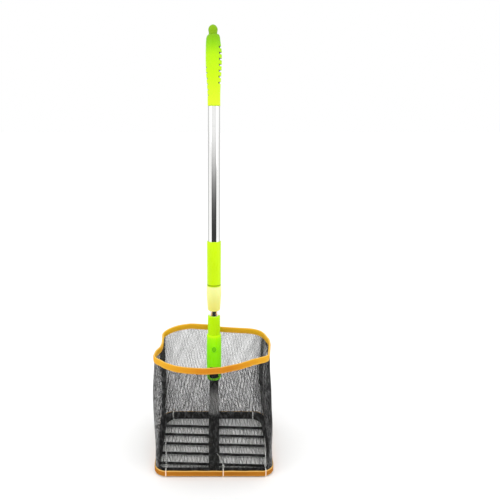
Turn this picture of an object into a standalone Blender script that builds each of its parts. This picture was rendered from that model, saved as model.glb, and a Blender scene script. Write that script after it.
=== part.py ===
"""Ball retriever: a net bag on a cord-strung base ring, with a telescoping twist-lock pole.

Metres, +Z up. The base stands on z = 0, its front faces -Y, and the pole rises inside
the bag just in front of the back wall.
"""
import math

import bmesh
import bpy
from mathutils import Matrix, Vector

# ---- driving dimensions ------------------------------------------------------------
GAP = 0.0003                  # clearance between neighbouring pieces

# Base ring and the bar across it
RING_X = 0.1098               # outer half width
RING_Y = 0.1075               # outer half depth
RING_H = 0.0130
RING_CORNER = 0.022
SIDE_RAIL = 0.0065            # rail widths
FRONT_RAIL = 0.0095
BACK_RAIL = 0.0080
INNER_CORNER = 0.026          # inner corners at the back
FRONT_INNER_CORNER = 0.012
RING_EDGE = 0.0010            # chamfer on the ring's edges
BAR_FRONT = 0.0097            # half widths of the bar
BAR_BACK = 0.0115
BAR_TOP = 0.0136
BAR_BOTTOM = 0.0010
LAP_Z = 0.0070                # the bar's end tabs lie on the rails above this height
BAR_EDGE = 0.0008

# Screws that hold the bar's tabs down
SCREW_X = 0.0050
SCREW_HEAD_R = 0.0026
SCREW_HEAD_H = 0.0019
SCREW_R = 0.0013
SCREW_RECESS = 0.0029
SCREW_TIP = 0.0118

# Elastic cords
CORD_R = 0.00245
CORD_Z = 0.0045
CORD_PITCH = 0.0338
CORD_MIDDLE_Y = -0.0094       # the middle cord crosses a little in front of the centre
CORD_COUNT = 5
CORD_END = 0.1080
CORD_SKEW = 0.0052            # each cord's left end lies this far behind its middle
CORD_SEGMENTS = 12

# Bag
NET_T = 0.0010
NET_BOTTOM = 0.0018
NET_STRAIGHT = 0.0160         # the net hangs straight below this height
NET_UPRIGHT = 0.2030          # it hangs straight again above this height
NET_TOP = 0.2130
BAG_RIM_X = 0.1110            # inner half width at the rim
BAG_RIM_Y = 0.1045
BAG_RIM_SHIFT = 0.0030        # the rim's middle lies this far behind the base's middle
BAG_RIM_CORNER = 0.048
BAG_BULGE = 0.0040
SEAM_ANGLE = math.radians(15)
SEAM_GAP = 0.0010
TAPE_W = 0.0100
TAPE_T = 0.0009

# Bindings and the rim wire
BAND_T = 0.0014
BAND_BOTTOM = 0.0017
BAND_TOP = 0.0130
RIM_TOP = 0.2163
RIM_SKIRT = 0.2043
RIM_WALL = 0.0010
WIRE_R = 0.0008
WIRE_SEGMENTS = 8

# Ties
TIE_W = 0.0024
TIE_T = 0.0010
TIE_NOTCH = 0.0015            # depth of the groove under the ring for each tie
TIE_HEAD = 0.0036
TIE_SLACK = 0.0006            # how loosely a tie hugs the inside of its rail
TIES = (                      # corner (x sign, y sign), angle round that corner, tail length
    ("front_left", -1, -1, math.radians(3), 0.062),
    ("front_right", 1, -1, math.radians(20), 0.060),
    ("back_left", -1, 1, math.radians(7), 0.006),
    ("back_right", 1, 1, 0.0, 0.006),
)
MIDDLE_TIE_X = 0.0178
MIDDLE_TIE_TAIL = 0.018

# Pole
POLE_Y = 0.0915               # the pole's axis
ROUND = 32                    # segments round the pole's parts
POST_TOP = 0.1380
PLUG_R = 0.0132
PLUG_BOTTOM = 0.1045
FLANGE_R = 0.0112
FLANGE_BOTTOM = 0.0965
POST_R = 0.0095
SOCKET_BORE = 0.0135
SOCKET_BOTTOM = 0.1036
SOCKET_TOP = 0.2040
SOCKET_R = 0.01575
WINDOW_W = 0.0190
WINDOW_Z0 = 0.1075
WINDOW_Z1 = 0.1345
BUTTON_Z = 0.1742
BUTTON_X = 0.0044             # half width and half height of the oval button
BUTTON_HALF_H = 0.0058
BUTTON_FACE = 0.0169          # face of the button, measured out from the axis
BUTTON_CLEAR = 0.0007
SLEEVE_R = 0.0132
SLEEVE_BOTTOM = 0.1420
SLEEVE_TOP = 0.2460
SLEEVE_FLOOR = 0.0037
INNER_R = 0.0100
INNER_BORE = 0.0088
INNER_TOP = 0.6150
GUIDE_R = 0.0110
GUIDE_TOP = 0.6280
OUTER_R = 0.0125
OUTER_BORE = 0.0113
OUTER_BOTTOM = 0.3160
OUTER_TOP = 0.6746
COLLAR_R = 0.01445
COLLAR_BOTTOM = 0.3116
COLLAR_TOP = 0.4068
COLLAR_GROOVE_Z = 0.0030      # a fine groove runs round the collar this far above its foot
COLLAR_GROOVE = 0.0006        # its depth and half its height
THREAD_R = 0.0125
THREAD_BORE = 0.0106
THREAD_BOTTOM = 0.2820
NUT_TOP = 0.3112
NUT_BOTTOM = 0.2585
NUT_TOP_R = 0.0152
NUT_LOW_R = 0.0130
NUT_FLOOR = 0.0030
NUT_BORE = 0.0115
NUT_HOLE = 0.0105
WEDGE_BOTTOM = 0.2665
WEDGE_TOP = 0.2815
WEDGE_R = 0.0112
WEDGE_SLIT = math.radians(20)
SEAL_BOTTOM = 0.2618
SEAL_H = 0.0030

# Grip and knob
GRIP_PLUG = 0.6400
GRIP_BOTTOM = 0.6749
GRIP_STATIONS = (             # height, reach to the left, reach to the right
    (0.6749, 0.0124, 0.0124),
    (0.6970, 0.0126, 0.0123),
    (0.7140, 0.0134, 0.0126),
    (0.7320, 0.0151, 0.0136),
    (0.7460, 0.0158, 0.0142),
    (0.7600, 0.0161, 0.0145),
    (0.7760, 0.0159, 0.0140),
    (0.7880, 0.0156, 0.0126),
    (0.7980, 0.0150, 0.0120),
    (0.8035, 0.0130, 0.0105),
    (0.8060, 0.0106, 0.0088),
)
GROOVE_PITCH = 0.0108
RIGHT_GROOVES = 7
RIGHT_GROOVE_Z = 0.7190
LEFT_GROOVES = 6
LEFT_GROOVE_Z = 0.6960
LEFT_GROOVE_PITCH = 0.0102
GROOVE_H = 0.0030
GROOVE_TILT = math.radians(24)
KNOB_X = -0.0019
KNOB_R = 0.0090
KNOB_TOP = 0.8234
KNOB_NECK_R = 0.0081
KNOB_PIN_R = 0.0040
KNOB_PIN_BOTTOM = 0.7960

# Colours (linear) and finishes
LIME = (0.56, 0.86, 0.02)
GREEN = (0.27, 0.80, 0.01)
CREAM = (0.92, 0.84, 0.42)
BLACK = (0.012, 0.012, 0.011)
CHROME = (0.80, 0.80, 0.82)
STEEL = (0.45, 0.45, 0.47)
ORANGE = (0.72, 0.25, 0.02)
WHITE = (0.80, 0.80, 0.78)
GREY = (0.25, 0.25, 0.26)


# ---- making objects ----------------------------------------------------------------
def material(name, colour, roughness, metallic):
    mat = bpy.data.materials.new(name)
    mat.use_nodes = True
    bsdf = mat.node_tree.nodes["Principled BSDF"]
    bsdf.inputs["Base Color"].default_value = (*colour, 1.0)
    bsdf.inputs["Roughness"].default_value = roughness
    bsdf.inputs["Metallic"].default_value = metallic
    return mat


def make(name, bm, look, at=(0.0, 0.0, 0.0)):
    """Turn a bmesh into a named object with its own material, placed at `at`."""
    bmesh.ops.recalc_face_normals(bm, faces=bm.faces)
    mesh = bpy.data.meshes.new(name)
    bm.to_mesh(mesh)
    bm.free()
    for face in mesh.polygons:
        face.use_smooth = True
    mesh.set_sharp_from_angle(angle=math.radians(35))
    obj = bpy.data.objects.new(name, mesh)
    obj.location = at
    if look:
        obj.data.materials.append(material(name, *look))
    bpy.context.scene.collection.objects.link(obj)
    return obj


def tool(target, name, bm, operation, at=(0.0, 0.0, 0.0)):
    """Add a hidden shape to the scene and use it on `target` as a Boolean."""
    cutter = make(name, bm, None, at)
    cutter.hide_render = True
    cutter.display_type = "WIRE"
    mod = target.modifiers.new(name, "BOOLEAN")
    mod.operation = operation
    mod.solver = "EXACT"
    mod.object = cutter


def bevel(obj, width, segments=1):
    mod = obj.modifiers.new("edges", "BEVEL")
    mod.width = width
    mod.segments = segments
    mod.limit_method = "ANGLE"


def add_box(bm, low, high, turn=None):
    """Add a box between two corners, turned about its own middle if asked."""
    low, high = Vector(low), Vector(high)
    middle = Matrix.Translation((low + high) / 2)
    size = Matrix.Diagonal((*(high - low), 1.0))
    bmesh.ops.create_cube(bm, size=1.0, matrix=middle @ (turn or Matrix.Identity(4)) @ size)


def add_placed_box(bm, place, low, high):
    """Add a box given in a placed frame."""
    low, high = Vector(low), Vector(high)
    size = Matrix.Diagonal((*(high - low), 1.0))
    bmesh.ops.create_cube(bm, size=1.0, matrix=place @ Matrix.Translation((low + high) / 2) @ size)


def add_rod(bm, start, end, radius, segments):
    start, end = Vector(start), Vector(end)
    along = end - start
    turn = along.to_track_quat("Z", "Y").to_matrix().to_4x4()
    bmesh.ops.create_cone(bm, cap_ends=True, segments=segments, radius1=radius, radius2=radius,
                          depth=along.length, matrix=Matrix.Translation((start + end) / 2) @ turn)


def skin(bm, rings, closed_along, ladder=False):
    """Join equal-length closed rings of points into one skin, capped unless it closes up.

    A ladder cap is made of quads between the first and the second half of the ring.
    """
    rows = [[bm.verts.new(p) for p in ring] for ring in rings]
    count = len(rows[0])
    pairs = list(zip(rows, rows[1:]))
    if closed_along:
        pairs.append((rows[-1], rows[0]))
    elif ladder:
        for row in (rows[0], rows[-1]):
            for i in range(count // 2 - 1):
                bm.faces.new((row[i], row[i + 1], row[count - 2 - i], row[count - 1 - i]))
    else:
        bm.faces.new(rows[0][::-1])
        bm.faces.new(rows[-1])
    for low, high in pairs:
        for i in range(count):
            j = (i + 1) % count
            bm.faces.new((low[i], low[j], high[j], high[i]))


def lathe(profile, segments=ROUND, start=0.0, sweep=math.tau):
    """Turn a closed (radius, z) outline about Z. Points at radius 0 become poles."""
    bm = bmesh.new()
    full = abs(sweep - math.tau) < 1e-6
    if full and profile[0][0] == 0.0:
        middle = profile[1:-1]
        rings = [[(r * math.cos(a), r * math.sin(a), z)
                  for a in (math.tau * i / segments for i in range(segments))] for r, z in middle]
        skin(bm, rings, False)
        return bm
    steps = segments if full else segments + 1
    rings = []
    for i in range(steps):
        a = start + sweep * i / segments
        rings.append([(r * math.cos(a), r * math.sin(a), z) for r, z in profile])
    skin(bm, rings, full)
    return bm


def lerp(a, b, t):
    return a + (b - a) * t


def arc(centre, radius, first, last, steps):
    """Points on an arc, both ends included."""
    angles = [lerp(first, last, i / steps) for i in range(steps + 1)]
    return [(centre[0] + radius * math.cos(a), centre[1] + radius * math.sin(a)) for a in angles]


def straight(a, b, steps):
    """Points strictly between a and b."""
    return [(lerp(a[0], b[0], i / steps), lerp(a[1], b[1], i / steps)) for i in range(1, steps)]


# ---- base ring ---------------------------------------------------------------------
CORNER_STEPS = 6


def ring_loop(inset, corner, front_corner=None):
    """Rounded rectangle inset from the ring's outer edge by (side, front, back)."""
    side, front, back = inset
    x, low, high = RING_X - side, -RING_Y + front, RING_Y - back
    points = []
    for sx, y, first in ((1, low, -90), (1, high, 0), (-1, high, 90), (-1, low, 180)):
        sy = 1 if y > 0 else -1
        radius = front_corner if front_corner and sy < 0 else corner
        centre = (sx * (x - radius), y - sy * radius)
        points += arc(centre, radius, math.radians(first), math.radians(first + 90), CORNER_STEPS)
    return points


def base_ring():
    edge = RING_EDGE
    rails = (SIDE_RAIL, FRONT_RAIL, BACK_RAIL)
    chamfered = tuple(w - edge for w in rails)
    levels = (
        (ring_loop((0, 0, 0), RING_CORNER), 0.0),
        (ring_loop((0, 0, 0), RING_CORNER), RING_H - edge),
        (ring_loop((edge, edge, edge), RING_CORNER - edge), RING_H),
        (ring_loop(chamfered, INNER_CORNER + edge, FRONT_INNER_CORNER + edge), RING_H),
        (ring_loop(rails, INNER_CORNER, FRONT_INNER_CORNER), RING_H - edge),
        (ring_loop(rails, INNER_CORNER, FRONT_INNER_CORNER), 0.0),
    )
    bm = bmesh.new()
    skin(bm, [[(x, y, z) for x, y in loop] for loop, z in levels], True)
    ring = make("frame_ring", bm, (BLACK, 0.42, 0.0))

    cuts = bmesh.new()
    for sign, half, rail in ((-1, BAR_FRONT, FRONT_RAIL), (1, BAR_BACK, BACK_RAIL)):
        inner = sign * (RING_Y - rail - 0.001)
        outer = sign * (RING_Y + 0.001)
        add_box(cuts, (-half - GAP, min(inner, outer), LAP_Z),
                (half + GAP, max(inner, outer), RING_H + 0.001))
    tool(ring, "ring_laps_cutter", cuts, "DIFFERENCE")

    cuts = bmesh.new()
    head, shank = SCREW_HEAD_R + GAP, SCREW_R + GAP
    hole = ((head, -0.001), (head, SCREW_RECESS), (shank, SCREW_RECESS), (shank, LAP_Z + 0.001))
    for y in (-RING_Y + FRONT_RAIL / 2, RING_Y - BACK_RAIL / 2):
        for x in (-SCREW_X, SCREW_X):
            angles = [math.tau * i / 12 for i in range(12)]
            skin(cuts, [[(x + r * math.cos(a), y + r * math.sin(a), z) for a in angles]
                        for r, z in hole], False)
    for left, right in cord_ends(CORD_END + GAP):
        add_rod(cuts, left, right, CORD_R + GAP, CORD_SEGMENTS)
    for _, place, rail, _ in tie_places():
        add_placed_box(cuts, place, (-TIE_W / 2 - GAP, -rail - 0.003, -0.001),
                       (TIE_W / 2 + GAP, 0.001, TIE_NOTCH))
    tool(ring, "ring_cords_cutter", cuts, "DIFFERENCE")


def inner_reach(centre, out, rail, sx, sy):
    """Distance from an outer corner's centre to the ring's inner edge along a direction."""
    corner = FRONT_INNER_CORNER if sy < 0 else INNER_CORNER
    inner = Vector((sx * (RING_X - SIDE_RAIL - corner), sy * (RING_Y - rail - corner)))
    ahead = (RING_Y - rail - abs(centre.y)) / abs(out.y)
    if abs(centre.x + ahead * out.x) <= abs(inner.x):
        return ahead
    away = centre - inner
    near = away.dot(out)
    return math.sqrt(near ** 2 - away.length_squared + corner ** 2) - near


def tie_places():
    """Name, placing matrix, rail width and tail of each tie. Local +Y points out of the ring."""
    facing = Matrix.Rotation(math.pi, 4, "Z")
    middle = Matrix.Translation((MIDDLE_TIE_X, -RING_Y, 0.0)) @ facing
    places = [("front_middle", middle, FRONT_RAIL, MIDDLE_TIE_TAIL)]
    for name, sx, sy, angle, tail in TIES:
        out = Vector((sx * math.sin(angle), sy * math.cos(angle)))
        centre = Vector((sx * (RING_X - RING_CORNER), sy * (RING_Y - RING_CORNER)))
        foot = centre + RING_CORNER * out
        rail = FRONT_RAIL if sy < 0 else BACK_RAIL
        reach = inner_reach(centre, out, rail, sx, sy)
        turn = math.atan2(out.y, out.x) - math.pi / 2
        place = Matrix.Translation((foot.x, foot.y, 0.0)) @ Matrix.Rotation(turn, 4, "Z")
        places.append((name, place, RING_CORNER - reach, tail))
    return places


def cord_ends(reach):
    """Left and right end of each cord, back to front, reaching `reach` to each side."""
    first = CORD_MIDDLE_Y + CORD_PITCH * (CORD_COUNT - 1) / 2
    ends = []
    for i in range(CORD_COUNT):
        y = first - i * CORD_PITCH
        skew = CORD_SKEW * reach / CORD_END
        ends.append(((-reach, y + skew, CORD_Z), (reach, y - skew, CORD_Z)))
    return ends


def cords():
    for i, (left, right) in enumerate(cord_ends(CORD_END), 1):
        bm = bmesh.new()
        add_rod(bm, left, right, CORD_R, CORD_SEGMENTS)
        make(f"elastic_cord_{i}", bm, (BLACK, 0.8, 0.0))


# ---- bar and post ------------------------------------------------------------------
def spine_post():
    """The bar across the ring, and the post that grows out of its back end."""
    front, back = -RING_Y, RING_Y
    inner_front = front + FRONT_RAIL + GAP + BAR_EDGE
    inner_back = back - BACK_RAIL - GAP - BAR_EDGE
    side = [
        (front + GAP, LAP_Z + GAP), (inner_front, LAP_Z + GAP), (inner_front, BAR_BOTTOM),
        (inner_back, BAR_BOTTOM), (inner_back, LAP_Z + GAP), (back - GAP, LAP_Z + GAP),
        (back - GAP, BAR_TOP), (front + GAP, BAR_TOP),
    ]
    rings = []
    for sign in (-1, 1):
        rings.append([(sign * lerp(BAR_FRONT, BAR_BACK, (y - front) / (back - front)), y, z)
                      for y, z in side])
    bm = bmesh.new()
    skin(bm, rings, False)
    bar = make("spine_post", bm, (BLACK, 0.38, 0.0))
    bevel(bar, BAR_EDGE)

    foot = RING_H + GAP
    flare = [(0.0136, foot), (0.0130, foot + 0.0040), (0.0123, 0.0240), (0.0112, 0.0340),
             (0.0103, 0.0460), (0.0098, 0.0600), (POST_R, 0.0760)]
    post = [(0.0, foot - 0.004), (0.0088, foot - 0.004), (0.0088, foot)] + flare + [
        (POST_R, FLANGE_BOTTOM), (FLANGE_R, FLANGE_BOTTOM + 0.0015),
        (FLANGE_R, PLUG_BOTTOM - 0.0006), (PLUG_R, PLUG_BOTTOM),
        (PLUG_R, POST_TOP - 0.0015), (PLUG_R - 0.0015, POST_TOP), (0.0, POST_TOP)]
    tool(bar, "post_shape", lathe(post), "UNION", (0.0, POLE_Y, 0.0))

    cuts = bmesh.new()
    for left, right in cord_ends(CORD_END / 4):
        add_rod(cuts, left, right, CORD_R + GAP, CORD_SEGMENTS)
    for y in (front + FRONT_RAIL / 2, back - BACK_RAIL / 2):
        for x in (-SCREW_X, SCREW_X):
            add_rod(cuts, (x, y, LAP_Z - 0.001), (x, y, SCREW_TIP + GAP), SCREW_R + GAP, 12)
    tool(bar, "bar_holes_cutter", cuts, "DIFFERENCE")


def screws():
    head = [(0.0, 0.0), (SCREW_HEAD_R - 0.0008, 0.0), (SCREW_HEAD_R, 0.0008),
            (SCREW_HEAD_R, SCREW_HEAD_H), (SCREW_R, SCREW_HEAD_H)]
    low = SCREW_RECESS - SCREW_HEAD_H - GAP
    length = SCREW_TIP - low
    shank = [(SCREW_R, length - 0.0014), (0.0004, length), (0.0, length)]
    for side, y in (("front", -RING_Y + FRONT_RAIL / 2), ("back", RING_Y - BACK_RAIL / 2)):
        for hand, x in (("left", -SCREW_X), ("right", SCREW_X)):
            make(f"screw_{side}_{hand}", lathe(head + shank, 12), (STEEL, 0.35, 1.0), (x, y, low))


# ---- bag ---------------------------------------------------------------------------
def bag_shape(z):
    """Half width, half depth, middle and corner radius of the bag's inner face at a height."""
    t = min(max((z - NET_STRAIGHT) / (NET_UPRIGHT - NET_STRAIGHT), 0.0), 1.0)
    half_x = lerp(RING_X + GAP, BAG_RIM_X, t) + BAG_BULGE * math.sin(math.pi * t)
    half_y = lerp(RING_Y + GAP, BAG_RIM_Y, t)
    middle = BAG_RIM_SHIFT * t
    corner = lerp(RING_CORNER + GAP, BAG_RIM_CORNER, t)
    return half_x, half_y, middle, corner


def bag_corner(z, offset, sx, sy, first, last, steps):
    half_x, half_y, middle, corner = bag_shape(z)
    centre = (sx * (half_x - corner), middle + sy * (half_y - corner))
    return arc(centre, corner + offset, first, last, steps)


SIDE_STEPS = 6


def front_path(z, offset):
    """The wrap's path, from the right seam round the front to the left seam."""
    gap = SEAM_GAP / 2 / bag_shape(z)[3]
    turn = math.pi / 2
    right = bag_corner(z, offset, 1, 1, SEAM_ANGLE - gap, 0.0, 1)
    front_right = bag_corner(z, offset, 1, -1, 0.0, -turn, CORNER_STEPS)
    front_left = bag_corner(z, offset, -1, -1, -turn, -2 * turn, CORNER_STEPS)
    left = bag_corner(z, offset, -1, 1, math.pi, math.pi - SEAM_ANGLE + gap, 1)
    return (right + straight(right[-1], front_right[0], SIDE_STEPS) + front_right
            + straight(front_right[-1], front_left[0], SIDE_STEPS) + front_left
            + straight(front_left[-1], left[0], SIDE_STEPS) + left)


def back_path(z, offset):
    """The back panel's path, from the right seam to the left seam."""
    gap = SEAM_GAP / 2 / bag_shape(z)[3]
    turn = math.pi / 2
    step = turn / CORNER_STEPS
    first = SEAM_ANGLE + step
    seam_right = bag_corner(z, offset, 1, 1, SEAM_ANGLE + gap, first, 1)[:1]
    right = bag_corner(z, offset, 1, 1, first, turn, CORNER_STEPS - 2)
    left = bag_corner(z, offset, -1, 1, turn, math.pi - first, CORNER_STEPS - 2)
    seam_left = bag_corner(z, offset, -1, 1, math.pi - first, math.pi - SEAM_ANGLE - gap, 1)[1:]
    return seam_right + right + straight(right[-1], left[0], SIDE_STEPS) + left + seam_left


def tape_path(sx):
    """A path function for the seam tape on one side."""
    def path(z, offset):
        half = TAPE_W / 2 / bag_shape(z)[3]
        middle = SEAM_ANGLE if sx > 0 else math.pi - SEAM_ANGLE
        return bag_corner(z, offset, sx, 1, middle - half, middle + half, 3)
    return path


def rim_path(z, offset):
    """A closed path all round the bag."""
    turn = math.pi / 2
    points = []
    for i, (sx, sy) in enumerate(((1, -1), (1, 1), (-1, 1), (-1, -1))):
        first = turn * (i - 1)
        points += bag_corner(z, offset, sx, sy, first, first + turn, CORNER_STEPS)
    return points


def wall(path, inner, thickness, heights):
    """A thin standing wall that follows a path at each height."""
    columns_in = [path(z, inner) for z in heights]
    columns_out = [path(z, inner + thickness) for z in heights]
    sections = []
    for i in range(len(columns_in[0])):
        up = [(*row[i], z) for row, z in zip(columns_in, heights)]
        down = [(*row[i], z) for row, z in zip(columns_out, heights)]
        sections.append(up + down[::-1])
    bm = bmesh.new()
    skin(bm, sections, False, ladder=True)
    return bm


def hoop(section, shape_z=None):
    """A closed hoop round the bag with an (offset, z) outline."""
    rows = [[(x, y, z) for x, y in rim_path(shape_z or z, offset)] for offset, z in section]
    bm = bmesh.new()
    skin(bm, rows, True)
    return bm


def bag():
    rise = [lerp(NET_STRAIGHT, NET_UPRIGHT, i / 5) for i in range(6)]
    heights = [NET_BOTTOM] + rise + [NET_TOP]
    wrap = make("net_wrap", wall(front_path, 0.0, NET_T, heights), (BLACK, 0.85, 0.0))
    back = make("net_back", wall(back_path, 0.0, NET_T, heights), (BLACK, 0.85, 0.0))
    for panel, side in ((wrap, "front"), (back, "back")):
        cuts = bmesh.new()
        for name, place, _, _ in tie_places():
            if name.startswith(side):
                add_placed_box(cuts, place, (-TIE_W / 2 - GAP, -0.004, RING_H - GAP),
                               (TIE_W / 2 + GAP, 0.004, RING_H + TIE_T + 3 * GAP))
        tool(panel, f"{panel.name}_cutter", cuts, "DIFFERENCE")

    for name, sx in (("seam_tape_left", -1), ("seam_tape_right", 1)):
        make(name, wall(tape_path(sx), NET_T + GAP, TAPE_T, rise), (BLACK, 0.75, 0.0))

    band_in = NET_T + GAP
    band = [(band_in, BAND_BOTTOM), (band_in + BAND_T, BAND_BOTTOM),
            (band_in + BAND_T, BAND_TOP), (band_in, BAND_TOP)]
    make("binding_bottom", hoop(band), (ORANGE, 0.7, 0.0))

    middle = NET_T / 2
    inside = WIRE_R + GAP
    outside = inside + RIM_WALL
    roof = RIM_TOP - RIM_WALL
    channel = [(middle - outside, RIM_SKIRT), (middle - inside, RIM_SKIRT),
               (middle - inside, roof), (middle + inside, roof),
               (middle + inside, RIM_SKIRT), (middle + outside, RIM_SKIRT),
               (middle + outside, RIM_TOP - 0.0008), (middle + outside - 0.0008, RIM_TOP),
               (middle - outside + 0.0008, RIM_TOP), (middle - outside, RIM_TOP - 0.0008)]
    make("binding_top", hoop(channel, NET_TOP), (ORANGE, 0.7, 0.0))

    centre = roof - GAP - WIRE_R
    circle = [(middle + WIRE_R * math.cos(a), centre + WIRE_R * math.sin(a))
              for a in (math.tau * i / WIRE_SEGMENTS for i in range(WIRE_SEGMENTS))]
    make("rim_wire", hoop(circle, NET_TOP), (STEEL, 0.4, 1.0))


# ---- ties --------------------------------------------------------------------------
def tie(name, place, rail, tail):
    """A strap round a rail, the net and the binding, with its head on top and a tail."""
    face = GAP + NET_T + GAP + BAND_T + GAP
    inner = -rail - TIE_SLACK - GAP
    low = TIE_NOTCH - GAP
    top = RING_H + GAP
    hole = [(inner, low), (face, low), (face, top), (inner, top)]
    back = inner - TIE_T
    head = top + TIE_T + TIE_HEAD
    loop = [(back, low - TIE_T), (face + TIE_T, low - TIE_T), (face + TIE_T, top + TIE_T),
            (back + TIE_HEAD, top + TIE_T), (back + TIE_HEAD, head), (inner, head),
            (inner, head + tail), (back, head + tail)]
    bm = bmesh.new()
    edges = []
    for outline in (loop, hole):
        verts = [bm.verts.new((-TIE_W / 2, y, z)) for y, z in outline]
        edges += [bm.edges.new((a, b)) for a, b in zip(verts, verts[1:] + verts[:1])]
    bmesh.ops.triangle_fill(bm, use_beauty=True, use_dissolve=False, edges=edges)
    moved = bmesh.ops.extrude_face_region(bm, geom=bm.faces[:])
    verts = [v for v in moved["geom"] if isinstance(v, bmesh.types.BMVert)]
    bmesh.ops.translate(bm, verts=verts, vec=(TIE_W, 0.0, 0.0))
    bmesh.ops.transform(bm, matrix=place, verts=bm.verts)
    make(f"zip_tie_{name}", bm, (WHITE, 0.4, 0.0))


def ties():
    for name, place, rail, tail in tie_places():
        tie(name, place, rail, tail)


# ---- pole --------------------------------------------------------------------------
def oval_rod(bm, half_x, half_z, y0, y1, z=0.0, segments=20):
    """Add an oval rod along Y."""
    angles = [math.tau * i / segments for i in range(segments)]
    rings = [[(half_x * math.cos(a), y, z + half_z * math.sin(a)) for a in angles] for y in (y0, y1)]
    skin(bm, rings, False)


def oval_cutter(clear, y0, y1):
    bm = bmesh.new()
    oval_rod(bm, BUTTON_X + clear, BUTTON_HALF_H + clear, y0, y1, BUTTON_Z)
    return bm


def pole_part(name, profile, look, segments=ROUND):
    return make(name, lathe(profile, segments), look, (0.0, POLE_Y, 0.0))


def lower_pole():
    axis = (0.0, POLE_Y, 0.0)
    shell = [(SOCKET_BORE, SOCKET_BOTTOM), (SOCKET_R - 0.0011, SOCKET_BOTTOM),
             (SOCKET_R - 0.0004, SOCKET_BOTTOM + 0.0040), (SOCKET_R, SOCKET_BOTTOM + 0.040),
             (SOCKET_R - 0.0001, SOCKET_TOP - 0.030), (SOCKET_R - 0.0006, SOCKET_TOP - 0.0022),
             (SOCKET_R - 0.0013, SOCKET_TOP), (SOCKET_BORE, SOCKET_TOP)]
    socket = pole_part("socket", shell, (GREEN, 0.3, 0.0))
    cuts = oval_cutter(BUTTON_CLEAR, -0.020, -0.011)
    half = WINDOW_W / 2
    corner = 0.003
    outline = []
    for sx, z, first in ((1, WINDOW_Z0, -90), (1, WINDOW_Z1, 0), (-1, WINDOW_Z1, 90), (-1, WINDOW_Z0, 180)):
        sz = 1 if z == WINDOW_Z1 else -1
        centre = (sx * (half - corner), z - sz * corner)
        outline += arc(centre, corner, math.radians(first), math.radians(first + 90), 2)
    skin(cuts, [[(x, y, z) for x, z in outline] for y in (-0.020, -0.004)], False)
    tool(socket, "socket_cutter", cuts, "DIFFERENCE", axis)

    floor = SLEEVE_BOTTOM + SLEEVE_FLOOR
    plug = [(0.0080, SLEEVE_BOTTOM), (SLEEVE_R - 0.001, SLEEVE_BOTTOM),
            (SLEEVE_R, SLEEVE_BOTTOM + 0.001), (SLEEVE_R, SLEEVE_TOP - 0.0012),
            (SLEEVE_R - 0.0012, SLEEVE_TOP), (INNER_R + GAP, SLEEVE_TOP),
            (INNER_R + GAP, floor), (0.0080, floor)]
    sleeve = pole_part("lower_sleeve", plug, (LIME, 0.3, 0.0))
    tool(sleeve, "sleeve_cutter", oval_cutter(GAP, -0.020, -0.005), "DIFFERENCE", axis)

    tube_low = floor + GAP
    tube = [(INNER_BORE, tube_low), (INNER_R, tube_low), (INNER_R, INNER_TOP), (INNER_BORE, INNER_TOP)]
    inner = pole_part("inner_tube", tube, (CHROME, 0.12, 1.0))
    tool(inner, "inner_tube_cutter", oval_cutter(GAP, -0.020, -0.004), "DIFFERENCE", axis)

    head = INNER_TOP + GAP
    guide = [(0.0, INNER_TOP - 0.020), (INNER_BORE - GAP, INNER_TOP - 0.020),
             (INNER_BORE - GAP, head), (GUIDE_R, head), (GUIDE_R, GUIDE_TOP - 0.001),
             (GUIDE_R - 0.001, GUIDE_TOP), (0.0, GUIDE_TOP)]
    pole_part("inner_tube_guide", guide, (GREY, 0.5, 0.0))


BUTTON_FLANGE = -0.0062       # front of the flange inside the tube, along Y from the axis
BUTTON_BACK = -0.0048
BUTTON_STEM = 0.0
SPRING_R = 0.0035
SPRING_WIRE = 0.0004
SPRING_FIRST = -0.0003
SPRING_LAST = 0.0068
SPRING_TURNS = 4


def snap_lock():
    at = (0.0, POLE_Y, BUTTON_Z)
    angles = [math.tau * i / 20 for i in range(20)]
    stations = (
        (0.62, 0.62, -BUTTON_FACE), (0.88, 0.88, -BUTTON_FACE + 0.0005),
        (1.0, 1.0, -BUTTON_FACE + 0.0016), (1.0, 1.0, BUTTON_FLANGE),
        (1.27, 1.22, BUTTON_FLANGE), (1.27, 1.22, BUTTON_BACK),
        (0.5, 0.38, BUTTON_BACK), (0.5, 0.38, BUTTON_STEM),
    )
    rings = [[(sx * BUTTON_X * math.cos(a), y, sz * BUTTON_HALF_H * math.sin(a)) for a in angles]
             for sx, sz, y in stations]
    bm = bmesh.new()
    skin(bm, rings, False)
    make("snap_button", bm, (GREEN, 0.35, 0.0), at)

    steps = SPRING_TURNS * 14
    rings = []
    for i in range(steps + 1):
        a = math.tau * SPRING_TURNS * i / steps
        y = lerp(SPRING_FIRST, SPRING_LAST, i / steps)
        ring = []
        for k in range(6):
            b = math.tau * k / 6
            r = SPRING_R + SPRING_WIRE * math.cos(b)
            ring.append((r * math.cos(a), y + SPRING_WIRE * math.sin(b), r * math.sin(a)))
        rings.append(ring)
    bm = bmesh.new()
    skin(bm, rings, False)
    make("snap_spring", bm, (STEEL, 0.35, 1.0), at)


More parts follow.
